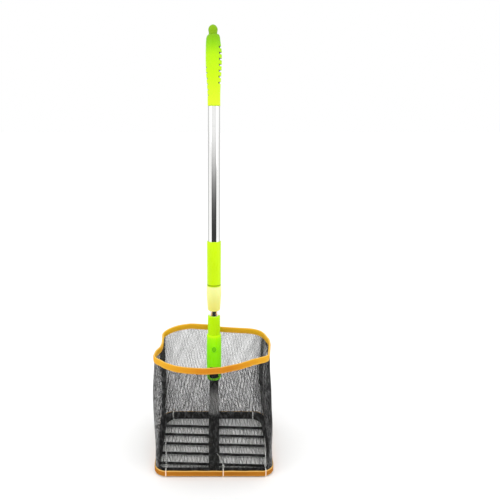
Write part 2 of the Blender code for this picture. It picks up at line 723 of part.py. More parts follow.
def upper_pole():
    tube = [(OUTER_BORE, OUTER_BOTTOM), (OUTER_R, OUTER_BOTTOM), (OUTER_R, OUTER_TOP),
            (OUTER_BORE, OUTER_TOP)]
    pole_part("outer_tube", tube, (CHROME, 0.12, 1.0))

    seat = OUTER_BOTTOM - GAP
    groove = COLLAR_BOTTOM + COLLAR_GROOVE_Z
    collar = [(THREAD_BORE, THREAD_BOTTOM), (THREAD_R, THREAD_BOTTOM),
              (THREAD_R, COLLAR_BOTTOM), (COLLAR_R - 0.0006, COLLAR_BOTTOM),
              (COLLAR_R, COLLAR_BOTTOM + 0.0006), (COLLAR_R, groove - COLLAR_GROOVE),
              (COLLAR_R - COLLAR_GROOVE, groove), (COLLAR_R, groove + COLLAR_GROOVE),
              (COLLAR_R, COLLAR_TOP - 0.0012),
              (COLLAR_R - 0.0009, COLLAR_TOP), (OUTER_R + GAP, COLLAR_TOP),
              (OUTER_R + GAP, seat), (THREAD_BORE, seat)]
    pole_part("collar_sleeve", collar, (LIME, 0.3, 0.0))

    floor = NUT_BOTTOM + NUT_FLOOR
    step = THREAD_BOTTOM - 0.0032
    nut = [(NUT_HOLE, NUT_BOTTOM), (NUT_LOW_R - 0.0008, NUT_BOTTOM), (NUT_LOW_R, NUT_BOTTOM + 0.0010),
           (NUT_TOP_R, NUT_TOP - 0.0200), (NUT_TOP_R, NUT_TOP - 0.0008), (NUT_TOP_R - 0.0008, NUT_TOP),
           (THREAD_R + GAP, NUT_TOP), (THREAD_R + GAP, step), (NUT_BORE, step), (NUT_BORE, floor),
           (NUT_HOLE, floor)]
    pole_part("lock_nut", nut, (CREAM, 0.35, 0.0))

    seal_r = NUT_BORE - GAP
    bore = INNER_R + GAP
    seal = [(bore, SEAL_BOTTOM), (seal_r, SEAL_BOTTOM), (seal_r, SEAL_BOTTOM + SEAL_H),
            (bore, SEAL_BOTTOM + SEAL_H)]
    pole_part("nut_seal", seal, (BLACK, 0.7, 0.0))

    wedge = [(bore, WEDGE_BOTTOM), (WEDGE_R, WEDGE_BOTTOM), (WEDGE_R, WEDGE_TOP - 0.004),
             (WEDGE_R - 0.0004, WEDGE_TOP), (bore, WEDGE_TOP)]
    bm = lathe(wedge, ROUND, WEDGE_SLIT / 2, math.tau - WEDGE_SLIT)
    make("wedge_ring", bm, (WHITE, 0.5, 0.0), (0.0, POLE_Y, 0.0))


def grip():
    """A handle plugged into the tube, fuller on the left, with ribs down both sides."""
    rings = []
    plug_r = OUTER_BORE - GAP
    angles = [math.tau * i / ROUND for i in range(ROUND)]
    stations = [(GRIP_PLUG, plug_r, plug_r), (GRIP_BOTTOM, plug_r, plug_r)] + list(GRIP_STATIONS)
    for z, left, right in stations:
        ring = []
        for a in angles:
            reach = lerp(left, right, (1 + math.cos(a)) / 2)
            ring.append((reach * math.cos(a), reach * math.sin(a), z))
        rings.append(ring)
    bm = bmesh.new()
    skin(bm, rings, False)
    handle = make("grip", bm, (LIME, 0.4, 0.0), (0.0, POLE_Y, 0.0))

    cuts = bmesh.new()
    rows = ((1, RIGHT_GROOVES, RIGHT_GROOVE_Z, GROOVE_PITCH, 0.0117),
            (-1, LEFT_GROOVES, LEFT_GROOVE_Z, LEFT_GROOVE_PITCH, 0.0134))
    for side, count, first, pitch, depth in rows:
        turn = Matrix.Rotation(side * GROOVE_TILT, 4, "Y")
        for i in range(count):
            z = first + i * pitch
            near = depth if side > 0 else min(depth, 0.0118 + 0.0008 * i)
            far = near + 0.010
            add_box(cuts, (min(side * near, side * far), -0.0085, z - GROOVE_H / 2),
                    (max(side * near, side * far), 0.0085, z + GROOVE_H / 2), turn)
    tool(handle, "grip_cutter", cuts, "DIFFERENCE", (0.0, POLE_Y, 0.0))
    hole = bmesh.new()
    add_rod(hole, (KNOB_X, 0.0, KNOB_PIN_BOTTOM - GAP), (KNOB_X, 0.0, KNOB_TOP),
            KNOB_PIN_R + GAP, 16)
    tool(handle, "grip_hole_cutter", hole, "DIFFERENCE", (0.0, POLE_Y, 0.0))

    low = GRIP_STATIONS[-1][0] + GAP
    knob = [(0.0, KNOB_PIN_BOTTOM), (KNOB_PIN_R, KNOB_PIN_BOTTOM), (KNOB_PIN_R, low),
            (KNOB_NECK_R, low), (KNOB_NECK_R, low + 0.0018), (KNOB_R - 0.0007, 0.8105),
            (KNOB_R, 0.8135), (KNOB_R - 0.0003, 0.8165), (0.0074, 0.8195), (0.0050, 0.8220),
            (0.0022, KNOB_TOP), (0.0, KNOB_TOP)]
    make("end_knob", lathe(knob, 24), (LIME, 0.4, 0.0), (KNOB_X, POLE_Y, 0.0))


# ---- build -------------------------------------------------------------------------
for old in list(bpy.data.objects):
    bpy.data.objects.remove(old, do_unlink=True)

base_ring()
spine_post()
screws()
cords()
bag()
ties()
lower_pole()
snap_lock()
upper_pole()
grip()
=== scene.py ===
import math
import random

import bmesh
import bpy
import numpy as np
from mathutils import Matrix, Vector


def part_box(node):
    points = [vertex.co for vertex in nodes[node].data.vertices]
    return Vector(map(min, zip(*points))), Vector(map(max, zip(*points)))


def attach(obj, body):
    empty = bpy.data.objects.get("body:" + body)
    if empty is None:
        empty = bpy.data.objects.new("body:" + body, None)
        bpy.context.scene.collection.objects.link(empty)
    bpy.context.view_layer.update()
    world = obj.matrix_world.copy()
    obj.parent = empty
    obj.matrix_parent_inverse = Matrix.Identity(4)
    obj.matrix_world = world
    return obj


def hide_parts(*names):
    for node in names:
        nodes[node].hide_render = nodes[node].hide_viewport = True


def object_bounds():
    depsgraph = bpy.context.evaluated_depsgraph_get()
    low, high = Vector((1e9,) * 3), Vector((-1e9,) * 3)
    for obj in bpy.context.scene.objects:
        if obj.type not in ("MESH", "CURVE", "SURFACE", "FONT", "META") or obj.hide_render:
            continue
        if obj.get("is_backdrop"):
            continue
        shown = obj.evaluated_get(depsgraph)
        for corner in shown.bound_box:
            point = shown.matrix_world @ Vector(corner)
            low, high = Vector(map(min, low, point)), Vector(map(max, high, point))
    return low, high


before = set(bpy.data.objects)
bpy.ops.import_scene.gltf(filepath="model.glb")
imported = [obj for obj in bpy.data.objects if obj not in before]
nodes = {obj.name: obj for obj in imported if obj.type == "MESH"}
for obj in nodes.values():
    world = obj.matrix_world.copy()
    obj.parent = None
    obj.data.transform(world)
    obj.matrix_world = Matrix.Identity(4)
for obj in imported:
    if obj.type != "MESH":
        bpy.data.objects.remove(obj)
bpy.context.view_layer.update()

rng = np.random.default_rng(7)
random.seed(7)


# ---- where the CAD puts things ----
RING_LOW, RING_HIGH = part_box("frame_ring")
BAND_LOW, BAND_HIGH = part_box("binding_bottom")
RIM_LOW, RIM_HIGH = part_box("binding_top")
TUBE_LOW, TUBE_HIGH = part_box("outer_tube")
POLE = (TUBE_LOW + TUBE_HIGH) / 2
BAND_T = 0.0014  # thickness of the bottom tape
NET_R = 0.00036  # from a net thread's middle to its edge
STRAND = 0.0013  # distance between upright strands
ROW = 0.00185  # distance between the rows where strands meet
RING_CORNER = 0.022  # corner radii of the ring and the rim
RIM_CORNER = 0.048
SIDE_SHARE, CORNER_SHARE = 0.17, 0.08  # share of a loop that each side and corner takes
NET_BASE_Z = 0.0025  # foot of the netting
NET_STRAIGHT_Z = 0.016  # the netting hangs straight below this height
NET_UPRIGHT = 0.01  # and straight again this far below the rim's middle
NET_HEIGHT = 0.211  # flat
NET_TUCK = 0.0015  # how far it reaches into the rim's fold, above the rim's middle
NET_OUTSIDE = 0.0008  # how far it stands outside the ring
RIM_INSET = 0.0021  # from the rim tape's outer face to the line it runs along
FOLD_SIZE, DENT_SIZE = 0.0011, 0.0009  # slack in the netting


# ---- meshes ----
def add(name, data):
    obj = bpy.data.objects.new(name, data)
    bpy.context.scene.collection.objects.link(obj)
    return obj


def place(name, mesh, look, crease=None):
    """Put a mesh in the scene, smooth but for the edges sharper than `crease` degrees."""
    obj = add(name, mesh)
    mesh.materials.append(look)
    mesh.polygons.foreach_set("use_smooth", [True] * len(mesh.polygons))
    if crease is not None:
        mesh.set_sharp_from_angle(angle=math.radians(crease))
    return obj


def new_object(name, verts, faces, look, crease=None):
    mesh = bpy.data.meshes.new(name)
    mesh.from_pydata([tuple(v) for v in verts], [], [tuple(f) for f in faces])
    mesh.update()
    return place(name, mesh, look, crease)


def outward(obj):
    """Turn every face outward."""
    bm = bmesh.new()
    bm.from_mesh(obj.data)
    bmesh.ops.recalc_face_normals(bm, faces=bm.faces)
    bm.to_mesh(obj.data)
    bm.free()
    return obj


def tag(obj, values):
    """Store each point's pattern coordinate: along and across in metres, and a share from 0 to 1."""
    layer = obj.data.attributes.new("pattern", "FLOAT_VECTOR", "POINT")
    layer.data.foreach_set("vector", np.asarray(values, float).ravel())


def grid_faces(rows, cols, close_rows):
    """Quads of a tube whose points are laid out ring by ring, `cols` to a ring."""
    faces = []
    for r in range(rows if close_rows else rows - 1):
        near, far = r * cols, (r + 1) % rows * cols
        for c in range(cols):
            c2 = (c + 1) % cols
            faces.append((near + c, near + c2, far + c2, far + c))
    return faces


def tube_faces(rows, cols):
    """The same for a tube closed at both ends."""
    ring = tuple(range(cols))
    return grid_faces(rows, cols, False) + [ring[::-1], tuple((rows - 1) * cols + i for i in ring)]


def unit(vectors):
    return vectors / np.linalg.norm(vectors, axis=-1, keepdims=True)


def lengths(points):
    """How far along a line each of its points lies."""
    steps = np.linalg.norm(np.diff(points, axis=0), axis=1)
    return np.concatenate([[0], np.cumsum(steps)])


def sweep(name, path, out, section, look, up, closed=True, crease=40, edge=0.0):
    """Sweep an outline of (out, up) points along a path. `out` and `up` hold a direction for each
    point of the path, and `edge` the pattern's share for each point of the outline."""
    path, out, up = np.asarray(path), np.asarray(out), np.asarray(up, float)
    section = np.asarray(section, float)
    if section.ndim == 2:
        section = np.broadcast_to(section, (len(path), *section.shape))
    verts = path[:, None] + out[:, None] * section[..., :1] + up[:, None] * section[..., 1:]
    n, m = verts.shape[:2]
    faces = grid_faces(n, m, True) if closed else tube_faces(n, m)
    obj = new_object(name, verts.reshape(-1, 3), faces, look, crease=crease)
    a, b = np.meshgrid(lengths(path), lengths(section[0]), indexing="ij")
    tag(obj, np.stack([a, b, np.broadcast_to(edge, a.shape)], -1).reshape(-1, 3))
    return outward(obj)


def add_bevel(obj):
    """Ease the sharp edges of a carried-over CAD object."""
    mod = obj.modifiers.new("edges", "BEVEL")
    mod.width = 0.0004
    mod.segments = 2
    mod.limit_method = "ANGLE"
    mod.angle_limit = math.radians(32)
    mod.harden_normals = False


def replace(obj, body, slot, *cad):
    """Ride a piece on a body, and in the place of its CAD nodes if it has any. `slot` is not used."""
    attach(obj, body)
    if cad:
        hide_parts(*cad)
    return obj


# ---- materials ----
def fill_ramp(ramp, stops):
    """Give a colour ramp its stops: (place, grey or colour)."""
    while len(ramp.elements) < len(stops):
        ramp.elements.new(0.5)
    for element, (at, value) in zip(ramp.elements, stops):
        element.position = at
        element.color = (*value, 1.0) if hasattr(value, "__len__") else (value, value, value, 1.0)


class Look:
    """A small builder for node materials."""

    def __init__(self, name, colour, roughness, metallic=0.0, **sockets):
        self.mat = bpy.data.materials.new(name)
        self.mat.use_nodes = True
        self.nodes = self.mat.node_tree.nodes
        self.links = self.mat.node_tree.links
        self.bsdf = self.nodes["Principled BSDF"]
        self.bsdf.inputs["Base Color"].default_value = (*colour, 1.0)
        self.bsdf.inputs["Roughness"].default_value = roughness
        self.bsdf.inputs["Metallic"].default_value = metallic
        for key, value in sockets.items():
            self.bsdf.inputs[key.replace("_", " ")].default_value = value
        self.height = None

    def node(self, kind, inputs=(), **settings):
        """A new node. `inputs` are pairs of an input's name and its value."""
        n = self.nodes.new(kind)
        for key, value in settings.items():
            setattr(n, key, value)
        for key, value in inputs:
            n.inputs[key].default_value = value
        return n

    def link(self, a, b):
        self.links.new(a, b)

    def where(self, stretch=(1, 1, 1), attribute=None):
        """Object coordinates, or a stored pattern coordinate, stretched by axis."""
        if attribute:
            source = self.node("ShaderNodeAttribute", attribute_name=attribute).outputs["Vector"]
        else:
            source = self.node("ShaderNodeTexCoord").outputs["Object"]
        mapping = self.node("ShaderNodeMapping", (("Scale", stretch),))
        self.link(source, mapping.inputs["Vector"])
        return mapping.outputs["Vector"]

    def noise(self, scale, detail=3.0, stretch=(1, 1, 1), attribute=None, roughness=0.55):
        inputs = ("Scale", scale), ("Detail", detail), ("Roughness", roughness)
        n = self.node("ShaderNodeTexNoise", inputs)
        self.link(self.where(stretch, attribute), n.inputs["Vector"])
        return n.outputs["Fac"]

    def wave(self, scale, axis, attribute=None, distortion=0.0):
        inputs = ("Scale", scale), ("Distortion", distortion), ("Detail", 1.0)
        n = self.node("ShaderNodeTexWave", inputs, wave_type="BANDS", bands_direction=axis)
        self.link(self.where(attribute=attribute), n.inputs["Vector"])
        return n.outputs["Fac"]

    def ramp(self, fac, stops):
        n = self.node("ShaderNodeValToRGB")
        fill_ramp(n.color_ramp, stops)
        self.link(fac, n.inputs["Fac"])
        return n.outputs["Color"]

    def span(self, fac, low, high, a=0.0, b=1.0):
        """Map fac from low..high to a..b."""
        inputs = ("From Min", low), ("From Max", high), ("To Min", a), ("To Max", b)
        n = self.node("ShaderNodeMapRange", inputs)
        self.link(fac, n.inputs["Value"])
        return n.outputs["Result"]

    def coordinate(self, axis, attribute=None):
        split = self.node("ShaderNodeSeparateXYZ")
        self.link(self.where(attribute=attribute), split.inputs[0])
        return split.outputs[axis]

    def mix(self, fac, a, b, blend="MIX"):
        n = self.node("ShaderNodeMix", data_type="RGBA", blend_type=blend)
        self._plug(fac, n.inputs[0])
        self._plug(a, n.inputs[6])
        self._plug(b, n.inputs[7])
        return n.outputs[2]

    def _plug(self, value, socket):
        if isinstance(value, bpy.types.NodeSocket):
            self.link(value, socket)
        elif hasattr(value, "__len__"):
            socket.default_value = (*value, 1.0)
        else:
            socket.default_value = value

    def maths(self, operation, a, b=0.0):
        n = self.node("ShaderNodeMath", operation=operation)
        self._plug(a, n.inputs[0])
        self._plug(b, n.inputs[1])
        return n.outputs[0]

    def paint(self, colour):
        self.link(colour, self.bsdf.inputs["Base Color"])

    def rough(self, value):
        self.link(value, self.bsdf.inputs["Roughness"])

    def glow(self, colour, strength):
        self.bsdf.inputs["Emission Color"].default_value = (*colour, 1.0)
        self.bsdf.inputs["Emission Strength"].default_value = strength

    def bump(self, height, strength, distance):
        n = self.node("ShaderNodeBump", (("Strength", strength), ("Distance", distance)))
        self.link(height, n.inputs["Height"])
        if self.height is not None:
            self.link(self.height, n.inputs["Normal"])
        self.height = n.outputs["Normal"]
        self.link(self.height, self.bsdf.inputs["Normal"])


def scaled(colour, k):
    return tuple(min(1.0, c * k) for c in colour)


def moulded(name, colour, roughness, coat=0.0, grain=0.00004, shade=0.1, glow=0.0, **sockets):
    """Injection-moulded plastic: faint flow variation, fine texture, handling marks. `glow` is painted
    light: the part gives back a little more light than falls on it."""
    look = Look(name, colour, roughness, Coat_Weight=coat, Coat_Roughness=0.12,
                Specular_IOR_Level=0.16, **sockets)
    # painted light: the part glows by `glow`
    look.glow(colour, glow)
    flow = look.noise(38.0, 2.0, (1, 1, 0.35))
    look.paint(look.mix(look.span(flow, 0.3, 0.7), scaled(colour, 1 - shade), colour))
    marks = look.noise(240.0, 4.0, (1, 1, 0.25), roughness=0.7)
    look.rough(look.span(marks, 0.35, 0.75, roughness * 0.82, min(1.0, roughness * 1.35)))
    look.bump(look.noise(2600.0, 2.0), 0.35, grain)
    look.bump(look.noise(160.0, 2.0), 0.25, grain * 2)
    return look


def graded(name, stops, low, high, roughness, coat, **sockets):
    """Moulded plastic whose colour drifts upward from height low to high."""
    look = moulded(name, stops[0][1], roughness, coat, **sockets)
    fac = look.span(look.coordinate(2), low, high)
    drift = look.ramp(fac, stops)
    flow = look.noise(38.0, 2.0, (1, 1, 0.35))
    dark = look.mix(1.0, drift, (0.94,) * 3, "MULTIPLY")
    look.paint(look.mix(look.span(flow, 0.3, 0.7), dark, drift))
    return look


def collar_lime(colour, groove_z, half):
    """The collar's plastic, with painted shade in the fine groove round its foot."""
    look = moulded("collar_lime", colour, 0.3, 0.04)
    bare = look.bsdf.inputs["Base Color"].links[0].from_socket
    away = look.maths("ABSOLUTE", look.maths("SUBTRACT", look.coordinate(2), groove_z))
    # painted shade in the groove
    look.paint(look.mix(look.span(away, half * 0.6, half * 1.6), scaled(colour, 0.28), bare))
    return look.mat


def grip_lime(stops, low, high):
    """The grip's plastic, with painted shade down in its slots and its knob hole."""
    look = graded("grip_lime", stops, low, high, 0.42, 0.0)
    bare = look.bsdf.inputs["Base Color"].links[0].from_socket
    deep = look.mix(1.0, bare, (0.07, 0.05, 0.03), "MULTIPLY")
    painted_slot_shade = look.coordinate(2, "pattern")
    # painted shade in the slots and the knob hole
    look.paint(look.mix(look.span(painted_slot_shade, 0.12, 0.6), bare, deep))
    return look.mat


def srgb(r, g, b):
    """A colour given as 0 to 255 on the screen, as the linear values a shader takes."""
    def lin(v):
        v /= 255
        return v / 12.92 if v <= 0.04045 else ((v + 0.055) / 1.055) ** 2.4
    return lin(r), lin(g), lin(b)


def frame_black():
    """The ring's moulded plastic, clouded and scuffed."""
    look = Look("frame_black", (0.0075, 0.0075, 0.0062), 0.52, Specular_IOR_Level=0.07)
    cloud = look.noise(30.0, 3.0)
    scuff = look.noise(420.0, 5.0, (0.3, 1, 1), roughness=0.7)
    base = look.mix(look.span(cloud, 0.35, 0.7), (0.005, 0.005, 0.0042), (0.0105, 0.0105, 0.0088))
    look.paint(look.mix(look.span(scuff, 0.62, 0.8, 0.0, 0.35), base, (0.035, 0.035, 0.032)))
    look.rough(look.span(look.noise(110.0, 5.0), 0.3, 0.75, 0.38, 0.6))
    look.bump(look.noise(1500.0, 3.0), 0.5, 0.00005)
    look.bump(look.noise(55.0, 2.0), 0.2, 0.00016)
    return look.mat


def post_black():
    """The bar's and post's plastic, black but for a painted reflection, pale, on the post's lower half."""
    look = Look("post_black", (0.011, 0.011, 0.01), 0.5, Specular_IOR_Level=0.06)
    stops = ((0.0, (0.0065, 0.0065, 0.0055)), (0.04, (0.2, 0.2, 0.195)),
             (0.1, (0.48, 0.48, 0.47)), (0.32, (0.52, 0.52, 0.51)),
             (0.52, (0.42, 0.42, 0.41)), (0.7, (0.16, 0.16, 0.155)),
             (0.84, (0.02, 0.02, 0.019)), (1.0, (0.006, 0.006, 0.005)))
    # painted reflection: pale grey up the post's lower half, broken by blotches
    fade = look.ramp(look.span(look.coordinate(2), 0.018, 0.1), stops)
    reflection_blotches = look.noise(170.0, 4.0, (1, 1, 0.5))
    look.paint(look.mix(look.span(reflection_blotches, 0.35, 0.7, 0.0, 0.25), fade, (0.012, 0.012, 0.011)))
    look.rough(look.span(look.noise(110.0, 5.0), 0.3, 0.75, 0.38, 0.6))
    look.bump(look.noise(1500.0, 3.0), 0.5, 0.00005)
    return look.mat


def chrome():
    """Polished tube, faintly drawn along its length and spotted."""
    colour, roughness = (0.86, 0.86, 0.85), 0.07
    look = Look("tube_chrome", colour, roughness, 1.0)
    drawn = look.noise(420.0, 3.0, (1, 1, 0.02))
    spots = look.noise(85.0, 4.0)
    look.rough(look.span(look.maths("ADD", drawn, spots), 0.7, 1.3, roughness * 0.7, roughness * 1.6))
    look.paint(look.mix(look.span(spots, 0.55, 0.8), colour, scaled(colour, 0.93)))
    look.bump(drawn, 0.12, 0.00002)
    return look.mat


def steel():
    look = Look("steel", (0.5, 0.5, 0.51), 0.3, 1.0)
    look.rough(look.span(look.noise(600.0, 3.0), 0.3, 0.7, 0.22, 0.42))
    tarnish = look.span(look.noise(240.0, 3.0), 0.4, 0.7)
    look.paint(look.mix(tarnish, (0.52, 0.52, 0.53), (0.36, 0.35, 0.34)))
    look.bump(look.noise(1800.0, 2.0), 0.3, 0.00003)
    return look.mat


def net_black():
    """Twisted black thread, patchy, with painted sheen in specks on the sides."""
    look = Look("net_black", (0.012, 0.012, 0.012), 0.6, Specular_IOR_Level=0.22)
    twist = look.wave(2600.0, "DIAGONAL")
    patch = look.noise(230.0, 3.0, (1, 1, 0.45), roughness=0.65)
    shade = look.mix(look.span(patch, 0.48, 0.62), (0.01, 0.01, 0.01), (0.12, 0.12, 0.122))
    # painted sheen: the threads are painted lighter, in specks, at the front of the left side, and over
    # the right side but for its upper front
    x, y, z = (look.coordinate(axis) for axis in range(3))
    left = look.maths("MULTIPLY", look.span(x, -0.1, -0.106), look.span(y, -0.02, -0.03))
    behind = look.span(look.maths("SUBTRACT", y, z), -0.155, -0.135)
    right = look.maths("MULTIPLY", look.span(x, 0.098, 0.104), behind)
    speck = look.noise(260.0, 2.0, (1, 1, 0.6), roughness=0.6)
    light = look.maths("MULTIPLY", look.maths("ADD", left, right), look.span(speck, 0.42, 0.56, 0.15, 1.0))
    shade = look.mix(light, shade, (0.4, 0.4, 0.4))
    look.paint(look.mix(look.maths("MULTIPLY", twist, 0.4), shade, (0.006, 0.006, 0.006)))
    look.rough(look.span(look.noise(500.0, 2.0), 0.3, 0.7, 0.5, 0.75))
    look.bump(twist, 0.4, 0.00006)
    return look.mat


def tape(name, deep, bright, glow=None, selvedge_and_highlight=(0.013, 0.013, 0.013)):
    """Woven ribbed tape, whose woven edge and painted highlight take the last colour where the
    pattern's share says. `glow` is painted light: its colour toward the sides and the back."""
    look = Look(name, deep, 0.66, Specular_IOR_Level=0.15)
    ribs = look.wave(314.0, "X", "pattern")
    cross = look.wave(520.0, "Y", "pattern", 0.4)
    cloud = look.noise(16.0, 3.0, attribute="pattern")
    worn = look.noise(220.0, 3.0, attribute="pattern")
    base = look.mix(look.span(cloud, 0.35, 0.65), deep, bright)
    if glow:
        # painted light: lighter and yellower toward the sides and the back
        side = look.maths("ABSOLUTE", look.coordinate(0))
        base = look.mix(look.span(side, 0.03, 0.095, 0.0, 0.75), base, glow)
        back = look.coordinate(1)
        base = look.mix(look.span(back, 0.0, 0.095, 0.0, 0.8), base, scaled(glow, 1.05))
    base = look.mix(look.maths("MULTIPLY", ribs, 0.35), base, scaled(deep, 0.6))
    # woven edge and painted highlight, where the pattern's share says
    base = look.mix(look.coordinate(2, "pattern"), base, selvedge_and_highlight)
    look.paint(look.mix(look.span(worn, 0.58, 0.75, 0.0, 0.3), base, scaled(bright, 1.2)))
    look.rough(look.span(worn, 0.3, 0.7, 0.55, 0.76))
    look.bump(ribs, 0.55, 0.00018)
    look.bump(cross, 0.25, 0.0001)
    return look.mat


def thread(name, colour):
    look = Look(name, colour, 0.55, Sheen_Weight=0.3, Sheen_Roughness=0.4)
    twist = look.wave(1500.0, "DIAGONAL")
    look.paint(look.mix(twist, scaled(colour, 0.7), colour))
    look.bump(twist, 0.5, 0.00008)
    return look.mat


def elastic_black():
    """The cords' fuzzy braid."""
    look = Look("elastic_black", (0.005, 0.005, 0.005), 0.85, Specular_IOR_Level=0.03)
    fuzz = look.noise(1800.0, 3.0)
    look.paint(look.mix(look.span(fuzz, 0.4, 0.7), (0.002, 0.002, 0.002), (0.008, 0.008, 0.008)))
    look.rough(look.span(fuzz, 0.3, 0.7, 0.7, 0.9))
    look.bump(fuzz, 0.5, 0.0001)
    return look.mat


def white_nylon():
    """The ties' nylon, with painted light: the tape's colour where it crosses the tape, and a faint glow."""
    look = Look("white_nylon", (0.9, 0.9, 0.88), 0.38, Transmission_Weight=0.06, IOR=1.35)
    plain = look.mix(look.span(look.noise(140.0, 3.0), 0.4, 0.7), (1.0, 1.0, 0.98), (0.9, 0.9, 0.87))
    reach = look.maths("ABSOLUTE", look.coordinate(1))
    # painted light: the tape's orange on the nylon where it crosses the tape
    painted_tape_light = look.span(reach, BAND_HIGH.y - 0.002, BAND_HIGH.y - 0.001, 0.0, 0.62)
    look.paint(look.mix(painted_tape_light, plain, srgb(222, 158, 72)))
    # painted light: a faint glow
    look.glow((1.0, 1.0, 0.96), 0.1)
    look.rough(look.span(look.noise(420.0, 3.0), 0.3, 0.7, 0.3, 0.5))
    look.bump(look.noise(900.0, 2.0), 0.3, 0.00003)
    return look.mat


def floor_look():
    look = Look("studio_floor", (0.94, 0.94, 0.94), 0.85)
    look.paint(look.mix(look.span(look.noise(3.0, 3.0), 0.3, 0.7), (0.935, 0.935, 0.935), (0.95, 0.95, 0.95)))
    return look.mat


COLLAR_GROOVE_Z, COLLAR_GROOVE_HALF = 0.3146, 0.0008  # the CAD's groove
GRIP_LOW, GRIP_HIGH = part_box("grip")
SOCKET_LOW, SOCKET_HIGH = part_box("socket")
NUT_LOW, NUT_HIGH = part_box("lock_nut")
# the same orange tape in two painted lights: lit for the rim, and in painted shade for the bottom band
PAINTED_LIT_TAPE = (srgb(202, 118, 14), srgb(216, 140, 24), srgb(246, 190, 40), srgb(250, 212, 110))
PAINTED_SHADED_TAPE = (srgb(170, 104, 16), srgb(184, 114, 22), None, srgb(246, 200, 110))
SOCKET_GREENS = ((0.0, srgb(126, 222, 2)), (0.72, srgb(146, 240, 4)),
                 (0.93, srgb(170, 244, 3)), (1.0, srgb(210, 248, 4)))
GRIP_LIMES = ((0.0, srgb(220, 246, 40)), (0.45, srgb(198, 242, 6)), (0.72, srgb(180, 232, 4)),
              (0.88, srgb(140, 206, 2)), (1.0, srgb(126, 180, 2)))
NUT_CREAMS = ((0.0, srgb(244, 226, 112)), (0.5, srgb(247, 236, 138)), (1.0, srgb(250, 244, 160)))
LOOKS = {
    "frame": frame_black(),
    "post": post_black(),
    "chrome": chrome(),
    "steel": steel(),
    "net": net_black(),
    "seam": tape("seam_black", (0.006, 0.006, 0.006), (0.013, 0.013, 0.013)),
    "orange": tape("orange_tape", *PAINTED_LIT_TAPE),
    "orange_shaded": tape("orange_tape_shaded", *PAINTED_SHADED_TAPE),
    "orange_thread": thread("orange_thread", srgb(232, 158, 40)),
    "elastic": elastic_black(),
    "nylon": white_nylon(),
    # the socket, button, sleeve and nut glow: painted light
    "socket": graded("socket_green", SOCKET_GREENS, SOCKET_LOW.z, SOCKET_HIGH.z, 0.3, 0.04,
                     glow=0.3).mat,
    "button": moulded("button_green", srgb(112, 204, 6), 0.34, 0.04, glow=0.25).mat,
    "sleeve": moulded("sleeve_lime", srgb(190, 242, 0), 0.3, 0.04, glow=0.1).mat,
    "collar": collar_lime(srgb(204, 244, 0), COLLAR_GROOVE_Z, COLLAR_GROOVE_HALF),
    "grip": grip_lime(GRIP_LIMES, GRIP_LOW.z + 0.035, GRIP_HIGH.z),
    "knob": moulded("knob_lime", srgb(132, 178, 4), 0.4, 0.0).mat,
    "nut": graded("nut_cream", NUT_CREAMS, NUT_LOW.z, NUT_HIGH.z, 0.34, 0.05,
                  Subsurface_Weight=0.25, glow=0.14).mat,
    "guide": moulded("guide_grey", (0.22, 0.22, 0.23), 0.5).mat,
    "wedge": moulded("wedge_white", (0.76, 0.76, 0.74), 0.5).mat,
    "rubber": moulded("seal_rubber", (0.014, 0.014, 0.014), 0.75, grain=0.00008).mat,
}


SCREWS = [(f"screw_{end}_{side}", "steel") for end in ("front", "back") for side in ("left", "right")]
for node, look in (
    ("frame_ring", "frame"), ("spine_post", "post"), ("socket", "socket"), ("snap_button", "button"),
    ("snap_spring", "steel"), ("lower_sleeve", "sleeve"), ("inner_tube", "chrome"),
    ("inner_tube_guide", "guide"), ("outer_tube", "chrome"), ("collar_sleeve", "collar"),
    ("wedge_ring", "wedge"), ("lock_nut", "nut"), ("nut_seal", "rubber"), ("grip", "grip"),
    ("end_knob", "knob"), *SCREWS,
):
    for slot in nodes[node].material_slots:
        slot.material = LOOKS[look]


# ---- the bag's surface ----
def rounded(u, half_x, half_y, centre_y, corner):
    """Points and outward directions on a rounded rectangle. u runs 0..1 anticlockwise from the
    middle of the right side, in fixed shares for sides and corners."""
    u = np.mod(np.asarray(u, float), 1.0)
    at = -SIDE_SHARE / 2
    u = np.where(u > 1 - SIDE_SHARE / 2, u - 1, u)
    x, y = np.zeros_like(u), np.zeros_like(u)
    nx, ny = np.zeros_like(u), np.zeros_like(u)
    for quarter in range(4):
        turn = quarter * math.pi / 2
        c, s = math.cos(turn), math.sin(turn)
        reach, half = (half_x, half_y) if quarter % 2 == 0 else (half_y, half_x)
        t = (u - at) / SIDE_SHARE
        on = (t >= 0) & (t < 1)
        lx, ly = reach, (2 * np.clip(t, 0, 1) - 1) * (half - corner)
        x = np.where(on, c * lx - s * ly, x)
        y = np.where(on, s * lx + c * ly, y)
        nx, ny = np.where(on, c, nx), np.where(on, s, ny)
        at += SIDE_SHARE
        t = (u - at) / CORNER_SHARE
        on = (t >= 0) & (t < 1)
        a = np.clip(t, 0, 1) * math.pi / 2
        lx, ly = reach - corner + corner * np.cos(a), half - corner + corner * np.sin(a)
        x = np.where(on, c * lx - s * ly, x)
        y = np.where(on, s * lx + c * ly, y)
        nx = np.where(on, c * np.cos(a) - s * np.sin(a), nx)
        ny = np.where(on, s * np.cos(a) + c * np.sin(a), ny)
        at += CORNER_SHARE
    return x, y + centre_y, nx, ny


# The rim as it stands: (angle round the bag in degrees, outward, upward), both in metres,
# measured from the CAD rim.
RIM_DRIFT = (
    (-100, 0.0, -0.0015), (-82, -0.001, 0.0005), (-66, -0.0065, 0.005), (-54, -0.015, 0.01),
    (-42, -0.0165, 0.009), (-28, -0.0095, 0.0065), (-12, -0.005, 0.004), (4, -0.001, 0.0015),
    (17, -0.0005, 0.0), (33, -0.0085, 0.0), (45, -0.006, -0.0025), (58, -0.001, -0.0048),
    (82, 0.0, -0.002), (98, 0.001, 0.003), (115, 0.002, 0.0048), (130, -0.003, 0.0015),
    (142, -0.003, -0.002), (157, -0.007, -0.0025), (172, -0.0085, 0.0), (184, -0.007, 0.001),
    (194, -0.0005, 0.0015), (206, 0.001, 0.003), (218, -0.006, 0.0045), (230, -0.006, 0.003),
    (244, -0.001, 0.0),
)
